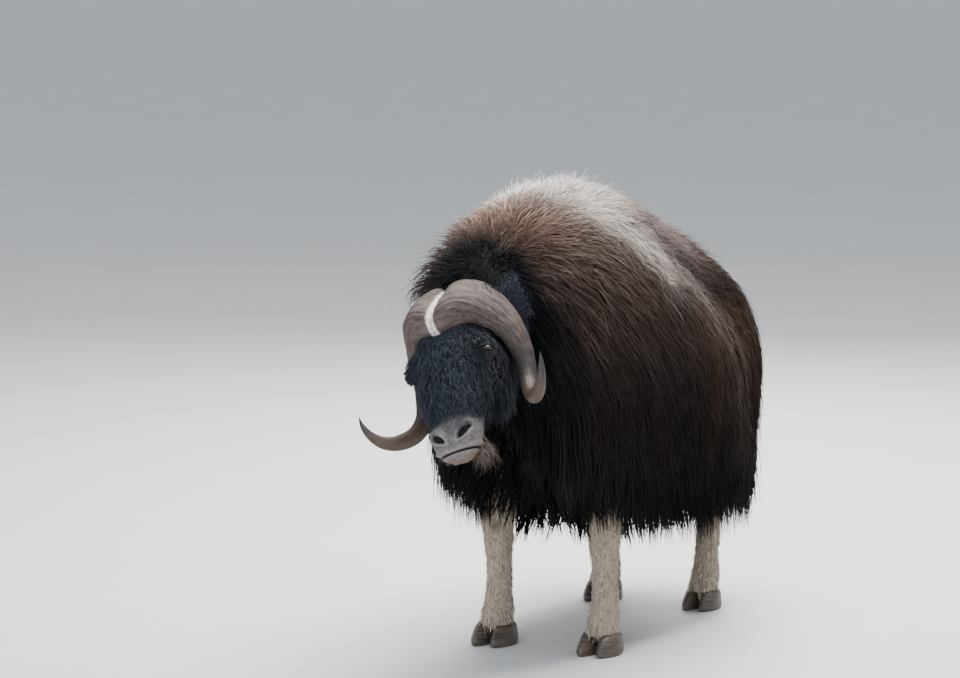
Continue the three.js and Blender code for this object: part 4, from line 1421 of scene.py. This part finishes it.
def tipped(tone, goal, amount):
    """Turns the colour of each line towards another at its tip."""
    share = down(tone.shape[1])
    return mix(tone, np.array(goal), amount[:, None, None] * share**2)


TIP_HIGHLIGHT_GAIN = 2.6  # painted highlight: standing hair is that much brighter at its tip, as where light shines through it
TIP_MOST = 0.85  # and no brighter than this
# Pieces of the long coat: from where to where along the body, and round the trunk.
SWATHES = {
    "mane_coat": ((-0.640, -0.300), (-0.42, 0.42)),
    "hump_coat": ((-0.300, 0.020), (-0.32, 0.32)),
    "saddle_coat": ((0.020, 0.500), (-0.36, 0.36)),
    "rump_coat": ((0.500, 0.950), (-0.42, 0.42)),
    "shoulder_coat_left": ((-0.300, 0.020), (0.32, 0.56)),
    "shoulder_coat_right": ((-0.300, 0.020), (-0.56, -0.32)),
    "flank_coat_left": ((0.020, 0.500), (0.36, 0.56)),
    "flank_coat_right": ((0.020, 0.500), (-0.56, -0.36)),
    "thigh_coat_left": ((0.500, 0.950), (0.42, 1.0)),
    "thigh_coat_right": ((0.500, 0.950), (-1.0, -0.42)),
    "belly_coat_left": ((-0.300, 0.500), (0.56, 1.0)),
    "belly_coat_right": ((-0.300, 0.500), (-1.0, -0.56)),
    "throat_coat_left": ((-0.640, -0.300), (0.42, 1.0)),
    "throat_coat_right": ((-0.640, -0.300), (-1.0, -0.42)),
}
SHORT_ROWS, LONG_ROWS = 5, 6  # points along a tuft of the back and of the sides


def build_long_coat(hues, sizes):
    material = hair_material("long_hair", sheen=0.012, roughness=0.62, gloss=0.07)
    for number, (name, (y_span, turn_span)) in enumerate(SWATHES.items()):
        draw = np.random.default_rng(100 + number)
        y, turn = scattered(draw, y_span, turn_span, sizes)
        roots = on_trunk(y, turn)
        q = to_head(roots)
        free = (off_head(q)[0] > 0.004) | (np.abs(q[:, 2] - HEAD_MIDDLE) > 0.28)
        free &= off_horns(q)[0] > 1.05
        y, turn, roots = y[free], turn[free], roots[free]
        plan = coat_plan(roots, np.abs(turn), sizes)
        with_strays(plan, draw)
        rows = SHORT_ROWS if turn_span[0] < 0 < turn_span[1] else LONG_ROWS
        lines, outs = comb(roots, plan, draw, rows)
        pull = np.where(plan["stray"], 0.1, mix(0.66, 0.40, plan["frizz"]))
        lines, clump = gathered(lines, size=9, pull=pull, seed=200 + number)
        lines = waved(lines, outs, mix(0.010, 0.012, plan["frizz"]), clump, 300 + number)
        lines = kept_clear(lines)
        lines[..., 2] = np.maximum(lines[..., 2], SKIRT_HEM - 0.01)
        spread = TONE_SPREAD + FRIZZ_SPREAD * plan["frizz"]
        colours = hair_tones(lines, lambda p: trunk_markings(p, hues), 0.5, draw, spread)
        # Painted highlight: the tips of the standing hair of crest, hump and back mound are brightened, as
        # if lit from behind.
        colours = tipped(colours, np.minimum(colours * TIP_HIGHLIGHT_GAIN, TIP_MOST), plan["frizz"])
        spots = np.stack([(y + 0.66) / 1.64, (turn + 1) / 2 * 0.99], 1)
        width = plan["wide"] * draw.uniform(0.6, 1.4, len(y))
        keep = ~before_ears(lines)
        piece = tufts(name, *(v[keep] for v in (lines, outs, width, colours, spots)))
        finish(piece, material)


# Short fur of the head, the ears and the legs


def spread_on(skin, wanted, per_area, draw):
    """Places spread over the skin's faces: points, normals, by how thick the fur is wanted."""
    mesh = skin.data
    mesh.calc_loop_triangles()
    corners = np.empty(len(mesh.loop_triangles) * 3, np.int32)
    mesh.loop_triangles.foreach_get("vertices", corners)
    corners = corners.reshape(-1, 3)
    co = points_of(skin) - BODY_SHIFT
    normal = np.empty(len(mesh.vertices) * 3)
    mesh.vertices.foreach_get("normal", normal)
    normal = normal.reshape(-1, 3)
    a, b, c = (co[corners[:, i]] for i in range(3))
    area = np.linalg.norm(np.cross(b - a, c - a), axis=1) / 2
    amount = area * per_area * wanted((a + b + c) / 3)
    count = int(amount.sum() * (1))
    pick = draw.choice(len(amount), count, p=amount / amount.sum())
    u, v = draw.uniform(size=(2, count))
    over = u + v > 1
    u, v = np.where(over, 1 - u, u)[:, None], np.where(over, 1 - v, v)[:, None]
    tri = corners[pick]
    place = co[tri[:, 0]] * (1 - u - v) + co[tri[:, 1]] * u + co[tri[:, 2]] * v
    way = normal[tri[:, 0]] * (1 - u - v) + normal[tri[:, 1]] * u + normal[tri[:, 2]] * v
    return place, unit(way)


def short_lines(roots, out, flow, length, lift, droop, rows):
    """Lines of short fur: each leaves the skin at a slant and bends down along the lie."""
    flow = unit(flow - out * dot(flow, out)[:, None])
    share = down(rows)
    long, lift, droop = (v[:, None, None] for v in (length, lift, droop))
    lines = roots[:, None] - out[:, None] * 0.002 + flow[:, None] * share * long
    lines = lines + out[:, None] * np.sin(share * math.pi * 0.62) * long * lift
    fall = np.array([0, 0, -1.0])
    return lines + fall * share**2 * long * droop


FACE_ROWS, EAR_ROWS, LEG_ROWS = 4, 5, 4  # points along a tuft
FACE_TUFTS, EAR_TUFTS, LEG_TUFTS = 47000, 60000, 12000  # a square metre
VELVET = 0.55  # how thick the shortest hair of nose and lips grows
UNDER_HORN = 0.022  # no hair grows where a horn is this close above the skin


def build_face_fur(hues, sizes):
    material = hair_material("face_hair", sheen=0.07, roughness=0.5, gloss=0.22)
    skin = bpy.data.objects["skin"]
    draw = np.random.default_rng(41)

    def wanted(p):
        q = to_head(p)
        side = folded(q)
        on = (off_head(q)[0] < 0.035) & (q[:, 2] > -0.40) & (q[:, 2] < 0.10)
        on &= off_horns(q)[0] > 0.97
        on &= off_horns(q + off_head(q)[1] * UNDER_HORN)[0] > 1.1
        on &= off_trunk(p)[0] > -0.012
        far, opening = eye_level(side)
        lids = (far > 0.032) | (opening > 1.30)
        bare = (q[:, 1] < -0.055) | (side[:, 0] < 0.05)
        nose = np.where(bare, ramp(q[:, 2] + 0.006 * mottled(q), -0.312, -0.270), 0.7)
        velvet = (nostril_level(side) > 1.3) & (np.abs(mouth_level(q)) > 0.007)
        nose = np.maximum(nose, VELVET * velvet)
        return on * lids * np.maximum(nose, 1.6 * jaw_share(q)) * (ear_share(q)[1] > 0.030)

    roots, out = spread_on(skin, wanted, FACE_TUFTS * sizes.thickness, draw)
    q = to_head(roots)
    side = folded(q)
    count = len(q)
    aside = np.sign(q[:, 0]) * np.clip(np.abs(q[:, 0]) / 0.06, 0, 1)
    cheek = ramp(q[:, 1], -0.02, 0.06)
    flow = np.stack([0.32 * aside, 0.35 * cheek, -np.ones(count)], 1)
    flow += 0.30 * draw.normal(size=(count, 3))
    flow += 0.40 * np.stack([mottled(q * 3), patchy(q * 4), 0 * cheek], 1)
    flow = flow @ HEAD_SPIN.T
    top = ramp(q[:, 2], -0.06, 0.03)
    snout = ramp(q[:, 2], -0.20, -0.30)
    length = mix(sizes.face_length, 0.046, top)
    length = mix(length, 0.012, snout * (1 - cheek))
    tip = ramp(q[:, 2], -0.285, -0.325) * (1 - cheek)
    length = mix(length, 0.0055, tip)
    length = mix(length, 0.055, cheek * ramp(q[:, 2], -0.34, -0.2))
    length = mix(length, 0.012, ramp(eye_level(side)[0], 0.050, 0.028))
    jaw = jaw_share(q)
    length = mix(length, 0.045, jaw) * draw.uniform(0.6, 1.2, count)
    by_horn = ramp(off_horns(q)[0], 1.9, 1.15) * (1 - jaw)
    length = mix(length, 0.012, by_horn)
    lift = mix(mix(0.42, 0.25, snout), 0.85, jaw) * draw.uniform(0.5, 1.5, count)
    droop = mix(mix(0.15, 0.55, cheek), 0.6, jaw)
    lines = short_lines(roots, out, flow, length, lift, droop, FACE_ROWS)
    lines, clump = gathered(lines, size=6, pull=np.full(count, 0.42), seed=42)
    outs = np.repeat(out[:, None], FACE_ROWS, 1)
    lines = waved(lines, outs, length * 0.15, clump, 43)
    colour_at = lambda p: head_markings(to_head(p), hues)
    # Painted sheen: tips of the face's hair above the snout are turned towards a bluish highlight.
    painted_sheen = np.clip(draw.normal(0.45, 0.35, count), 0, 1) * ramp(q[:, 2], -0.30, -0.22)
    colours = tipped(hair_tones(lines, colour_at, 0.8, draw), hues.head_sheen, painted_sheen * 0.5)
    around = np.arctan2(q[:, 0], -(q[:, 1] - 0.02)) / (2 * math.pi) + 0.5
    spots = np.stack([around * 0.99, (q[:, 2] + 0.42) / 0.62 * 0.99], 1)
    width = mix(mix(0.0030, 0.0017, snout), 0.0011, tip) * draw.uniform(0.5, 1.4, count)
    finish(tufts("face_fur", lines, outs, width, colours, spots), material)


def build_ear_fur(hues, sizes):
    material = hair_material("ear_hair", sheen=0.08, roughness=0.55, gloss=0.15)
    skin = bpy.data.objects["skin"]
    draw = np.random.default_rng(51)

    def wanted(p):
        q = to_head(p)
        share, far = ear_share(q)
        return (far < 0.046) * (share > 0.02) * (off_head(q)[0] > 0.004) * (off_trunk(p)[0] > -0.004)

    roots, out = spread_on(skin, wanted, EAR_TUFTS * sizes.thickness, draw)
    q = to_head(roots)
    count = len(q)
    share, far = ear_share(q)
    axis = unit(ear_way(q)) * side_signs(q)
    flow = (axis + 0.3 * draw.normal(size=(count, 3))) @ HEAD_SPIN.T
    edge = ramp(far, 0.014, 0.030)
    length = mix(0.016, 0.040, edge) * draw.uniform(0.6, 1.2, count)
    lift = np.full(count, 0.35)
    lines = short_lines(roots, out, flow, length, lift, mix(0.05, 0.6, edge), EAR_ROWS)
    lines, clump = gathered(lines, size=6, pull=np.full(count, 0.5), seed=52)
    outs = np.repeat(out[:, None], EAR_ROWS, 1)
    lines = waved(lines, outs, length * 0.10, clump, 53)
    ear = lambda p: np.broadcast_to(np.array(hues.ear), p.shape)
    # Painted sheen: the hair at the ear's edge is tipped with the head's bluish sheen.
    colours = tipped(hair_tones(lines, ear, 1.0, draw), hues.head_sheen, edge * 0.5)
    spots = np.stack([(np.sign(q[:, 0]) + 1) / 4 + share * 0.45, 0.5 + out[:, 0] * 0.45], 1)
    width = 0.0026 * draw.uniform(0.7, 1.3, count)
    finish(tufts("ear_fur", lines, outs, width, colours, spots), material)


def build_leg_fur(hues, sizes):
    material = hair_material("leg_hair", sheen=0.06, roughness=0.6, gloss=0.25)
    skin = bpy.data.objects["skin"]
    for number, (leg, side) in enumerate(product(LEGS, SIDES)):
        draw = np.random.default_rng(61 + number)
        way = SIDES[side]
        span = (-0.3, 0.15) if leg == "front" else (0.4, 0.9)

        def wanted(p):
            on = (p[:, 2] < 0.60) & (p[:, 2] > 0.045) & (p[:, 0] * way > 0)
            on &= (p[:, 1] > span[0]) & (p[:, 1] < span[1])
            return on * (off_trunk(p)[0] > 0.004)

        roots, out = spread_on(skin, wanted, LEG_TUFTS * sizes.thickness, draw)
        count = len(roots)
        flow = np.array([0, 0.12, -1.0]) + 0.22 * draw.normal(size=(count, 3))
        low = ramp(roots[:, 2], 0.13, 0.07)
        length = mix(0.022, 0.034, low) * draw.uniform(0.6, 1.2, count)
        length = np.minimum(length, np.maximum(roots[:, 2] - 0.018, 0.008))
        lift = np.full(count, 0.28)
        lines = short_lines(roots, out, flow, length, lift, 0.3 * low, LEG_ROWS)
        lines, _ = gathered(lines, size=7, pull=np.full(count, 0.5), seed=71 + number)
        outs = np.repeat(out[:, None], LEG_ROWS, 1)
        colours = hair_tones(lines, lambda p: leg_markings(p, hues), 0.8, draw)
        colours = tipped(colours, hues.leg, np.full(count, 0.1))
        angle = np.arctan2(out[:, 0], out[:, 1]) / (2 * math.pi) + 0.5
        spots = np.stack([angle * 0.99, roots[:, 2] / 0.65 * 0.99], 1)
        width = 0.0032 * draw.uniform(0.7, 1.3, count)
        finish(tufts(f"leg_fur_{leg}_{side}", lines, outs, width, colours, spots), material)


# The stage

VIEW_TURN, VIEW_RISE = math.radians(25), math.radians(6)
VIEW_FAR = 14.0  # from the camera to the sighted point
IMAGE_WIDTH, IMAGE_HEIGHT = 960, 678
PIXELS_A_METRE = 335.0  # in the picture, at the sighted point
SIGHT = Vector((0.0, 0.0, 1.40))  # over the shoulders
SIGHT_PIXEL = (565, 180)  # where the picture shows it
SENSOR = 36.0  # width, in millimetres


def build_stage():
    bpy.ops.object.select_all(action="DESELECT")
    bpy.ops.mesh.primitive_plane_add(size=60, location=(0, 0, 0))
    floor = bpy.context.object
    floor.name = "floor"
    bpy.ops.object.transform_apply(location=True, rotation=True, scale=True)
    floor.data.materials.append(floor_material())

    world = bpy.data.worlds.new("studio")
    world.use_nodes = True
    world.node_tree.nodes["Background"].inputs["Color"].default_value = (0.80, 0.86, 0.94, 1)
    world.node_tree.nodes["Background"].inputs["Strength"].default_value = 0.85
    bpy.context.scene.world = world

    # Name of each light: its place, what it looks at, size, power and colour.
    lights = {
        "sky_panel": ((0.3, 1.2, 5.2), (0.0, 0.1, 0.9), 4.0, 820, (1.0, 0.97, 0.93)),
        "rim_panel": ((-1.5, 4.8, 3.6), (0.0, 0.2, 1.1), 2.6, 330, (1.0, 0.96, 0.9)),
        "front_panel": ((0.4, -6.0, 2.9), (0.0, -0.5, 0.9), 3.2, 230, (0.93, 0.96, 1.0)),
    }
    for name, (place, target, size, power, colour) in lights.items():
        bpy.ops.object.light_add(type="AREA", location=place)
        lamp = bpy.context.object
        lamp.name = name
        lamp.rotation_euler = (Vector(place) - Vector(target)).to_track_quat("Z", "Y").to_euler()
        lamp.data.size, lamp.data.energy, lamp.data.color = size, power, colour

    away = Vector((
        math.sin(VIEW_TURN) * math.cos(VIEW_RISE),
        -math.cos(VIEW_TURN) * math.cos(VIEW_RISE),
        math.sin(VIEW_RISE),
    ))
    right = Vector((math.cos(VIEW_TURN), math.sin(VIEW_TURN), 0))
    up = away.cross(right)
    sight = SIGHT + Vector(BODY_SHIFT)
    eye = sight + away * VIEW_FAR
    aside = (IMAGE_WIDTH / 2 - SIGHT_PIXEL[0]) / PIXELS_A_METRE
    below = (IMAGE_HEIGHT / 2 - SIGHT_PIXEL[1]) / PIXELS_A_METRE
    aim = sight + right * aside - up * below
    bpy.ops.object.camera_add(location=eye)
    camera = bpy.context.object
    camera.name = "camera"
    camera.rotation_euler = (eye - aim).to_track_quat("Z", "Y").to_euler()
    camera.data.sensor_width = SENSOR
    camera.data.lens = SENSOR * VIEW_FAR * PIXELS_A_METRE / IMAGE_WIDTH
    camera.data.clip_end = 100
    bpy.context.scene.camera = camera


# Settings, operators and panel


def hue(name, description, colour):
    return bpy.props.FloatVectorProperty(
        name=name, description=description, default=colour, subtype="COLOR", size=3, min=0, max=1
    )


def length_of(name, description, default):
    return bpy.props.FloatProperty(
        name=name, description=description, default=default, min=0, subtype="DISTANCE", unit="LENGTH"
    )


class MuskoxSizes(bpy.types.PropertyGroup):
    skirt_length: length_of("Skirt", "Length of the long hair on the flanks", SKIRT_LENGTH)
    crest_length: length_of("Crest", "Length of the standing hair on neck and hump", 0.115)
    saddle_length: length_of("Saddle", "Length of the hair behind the hump", 0.075)
    face_length: length_of("Face", "Length of the hair on the face", 0.034)
    thickness: bpy.props.FloatProperty(
        name="Thickness",
        description="How thick the coat grows",
        default=1.0,
        min=0.05,
        max=1.5,
        subtype="FACTOR",
    )


class MuskoxHues(bpy.types.PropertyGroup):
    flank: hue("Flank", "The sides", (0.023, 0.016, 0.0145))
    shoulder: hue("Shoulder", "Over the front legs", (0.118, 0.082, 0.068))
    russet: hue("Russet", "The side behind the shoulder", (0.085, 0.050, 0.036))
    rump: hue("Rump", "The hind quarters", (0.030, 0.019, 0.0155))
    mantle: hue("Mantle", "The neck's sides", (0.056, 0.0355, 0.0300))
    crest: hue("Crest", "The top of the neck", (0.122, 0.075, 0.056))
    back: hue("Back", "Behind the hump", (0.125, 0.095, 0.092))
    hump: hue("Hump", "The top of the hump", (0.540, 0.455, 0.415))
    # The saddle's pale hair; its band also paints sky light along the back's lit edge.
    saddle: hue("Saddle", "The pale saddle", (0.700, 0.620, 0.575))
    skirt: hue("Skirt", "The long lower hair", (0.0014, 0.0012, 0.0015))
    # The throat's colour is also the painted shade on the face's cheeks and sides.
    throat: hue("Throat", "Behind the face", (0.0028, 0.0032, 0.0050))
    face: hue("Face", "The face", (0.021, 0.026, 0.038))
    # Painted sheen: the bluish highlight on the tips of the face's and the ears' hair.
    head_sheen: hue("Face tips", "Tips of the face's hair", (0.100, 0.125, 0.165))
    muzzle: hue("Muzzle", "Nose and lips", (0.118, 0.108, 0.106))
    lip: hue("Lips", "The lips and the nostrils' rims", (0.230, 0.208, 0.198))
    chin: hue("Chin", "Under the lips", (0.135, 0.100, 0.076))
    eye_rim: hue("Eye rim", "Skin round the eye", (0.055, 0.043, 0.038))
    ear: hue("Ear", "The ears", (0.026, 0.028, 0.040))
    leg: hue("Leg", "The lower legs", (0.450, 0.380, 0.300))
    boss: hue("Boss", "The horns' base", (0.076, 0.058, 0.053))
    worn: hue("Horn wear", "Worn patches of the horns", (0.150, 0.122, 0.110))
    parting: hue("Parting", "Between the horns", (0.640, 0.575, 0.540))
    shaft: hue("Horn shaft", "The horns' middle", (0.017, 0.0135, 0.0130))
    tan: hue("Horn tan", "The horns' outer bend", (0.070, 0.046, 0.036))
    horn_tip: hue("Horn tip", "The horns' points", (0.030, 0.030, 0.035))
    claw: hue("Hoof", "The claws", (0.022, 0.018, 0.015))
    claw_worn: hue("Hoof wear", "Rings and worn edges of the claws", (0.110, 0.085, 0.065))
    iris: hue("Iris", "The eyes", (0.012, 0.007, 0.0045))
    iris_rim: hue("Iris fibres", "Fibres of the eyes", (0.024, 0.014, 0.008))
    # The pupil's colour is also the painted shade in the nostrils and the mouth's slit.
    pupil: hue("Pupil", "Pupil and the ball's edge", (0.006, 0.005, 0.005))


class MUSKOX_OT_skin(bpy.types.Operator):
    """Makes the whole skin in one piece, with its face"""

    bl_idname = "muskox.skin"
    bl_label = "Skin"

    def execute(self, context):
        build_skin(context.scene.muskox_hues)
        return {"FINISHED"}


class MUSKOX_OT_eyes(bpy.types.Operator):
    """Makes both eyes"""

    bl_idname = "muskox.eyes"
    bl_label = "Eyes"

    def execute(self, context):
        build_eyes(context.scene.muskox_hues)
        return {"FINISHED"}


class MUSKOX_OT_horns(bpy.types.Operator):
    """Makes both horns with their bosses"""

    bl_idname = "muskox.horns"
    bl_label = "Horns"

    def execute(self, context):
        build_horns(context.scene.muskox_hues)
        return {"FINISHED"}


class MUSKOX_OT_claws(bpy.types.Operator):
    """Makes the eight claws"""

    bl_idname = "muskox.claws"
    bl_label = "Claws"

    def execute(self, context):
        build_claws(context.scene.muskox_hues)
        return {"FINISHED"}


class MUSKOX_OT_long_coat(bpy.types.Operator):
    """Makes the long coat of neck, back, sides and belly"""

    bl_idname = "muskox.long_coat"
    bl_label = "Long coat"

    def execute(self, context):
        build_long_coat(context.scene.muskox_hues, context.scene.muskox_sizes)
        return {"FINISHED"}


class MUSKOX_OT_face_fur(bpy.types.Operator):
    """Makes the short fur of the face and the ears; needs the skin"""

    bl_idname = "muskox.face_fur"
    bl_label = "Face and ear fur"

    def execute(self, context):
        build_face_fur(context.scene.muskox_hues, context.scene.muskox_sizes)
        build_ear_fur(context.scene.muskox_hues, context.scene.muskox_sizes)
        return {"FINISHED"}


class MUSKOX_OT_leg_fur(bpy.types.Operator):
    """Makes the short fur of the legs; needs the skin"""

    bl_idname = "muskox.leg_fur"
    bl_label = "Leg fur"

    def execute(self, context):
        build_leg_fur(context.scene.muskox_hues, context.scene.muskox_sizes)
        return {"FINISHED"}


class MUSKOX_OT_stage(bpy.types.Operator):
    """Makes the floor, the lights and the camera"""

    bl_idname = "muskox.stage"
    bl_label = "Stage"

    def execute(self, context):
        build_stage()
        return {"FINISHED"}


OPERATORS = (
    MUSKOX_OT_stage,
    MUSKOX_OT_skin,
    MUSKOX_OT_eyes,
    MUSKOX_OT_horns,
    MUSKOX_OT_claws,
    MUSKOX_OT_long_coat,
    MUSKOX_OT_face_fur,
    MUSKOX_OT_leg_fur,
)


class MUSKOX_PT_parts(bpy.types.Panel):
    """Lists the pieces and their settings"""

    bl_idname = "MUSKOX_PT_parts"
    bl_label = "Muskox"
    bl_space_type = "VIEW_3D"
    bl_region_type = "UI"
    bl_category = "Muskox"

    def draw(self, context):
        for operator in OPERATORS:
            self.layout.operator(operator.bl_idname)
        for group in (context.scene.muskox_sizes, context.scene.muskox_hues):
            for name in group.__annotations__:
                self.layout.prop(group, name)


CLASSES = (MuskoxSizes, MuskoxHues, *OPERATORS, MUSKOX_PT_parts)


def register():
    for cls in CLASSES:
        bpy.utils.register_class(cls)
    bpy.types.Scene.muskox_sizes = bpy.props.PointerProperty(type=MuskoxSizes)
    bpy.types.Scene.muskox_hues = bpy.props.PointerProperty(type=MuskoxHues)


def unregister():
    del bpy.types.Scene.muskox_hues
    del bpy.types.Scene.muskox_sizes
    for cls in reversed(CLASSES):
        bpy.utils.unregister_class(cls)


def main():
    register()
    bpy.ops.muskox.stage()
    bpy.ops.muskox.skin()
    bpy.ops.muskox.eyes()
    bpy.ops.muskox.horns()
    bpy.ops.muskox.claws()
    bpy.ops.muskox.long_coat()
    bpy.ops.muskox.face_fur()
    bpy.ops.muskox.leg_fur()


if __name__ == "__main__":
    main()
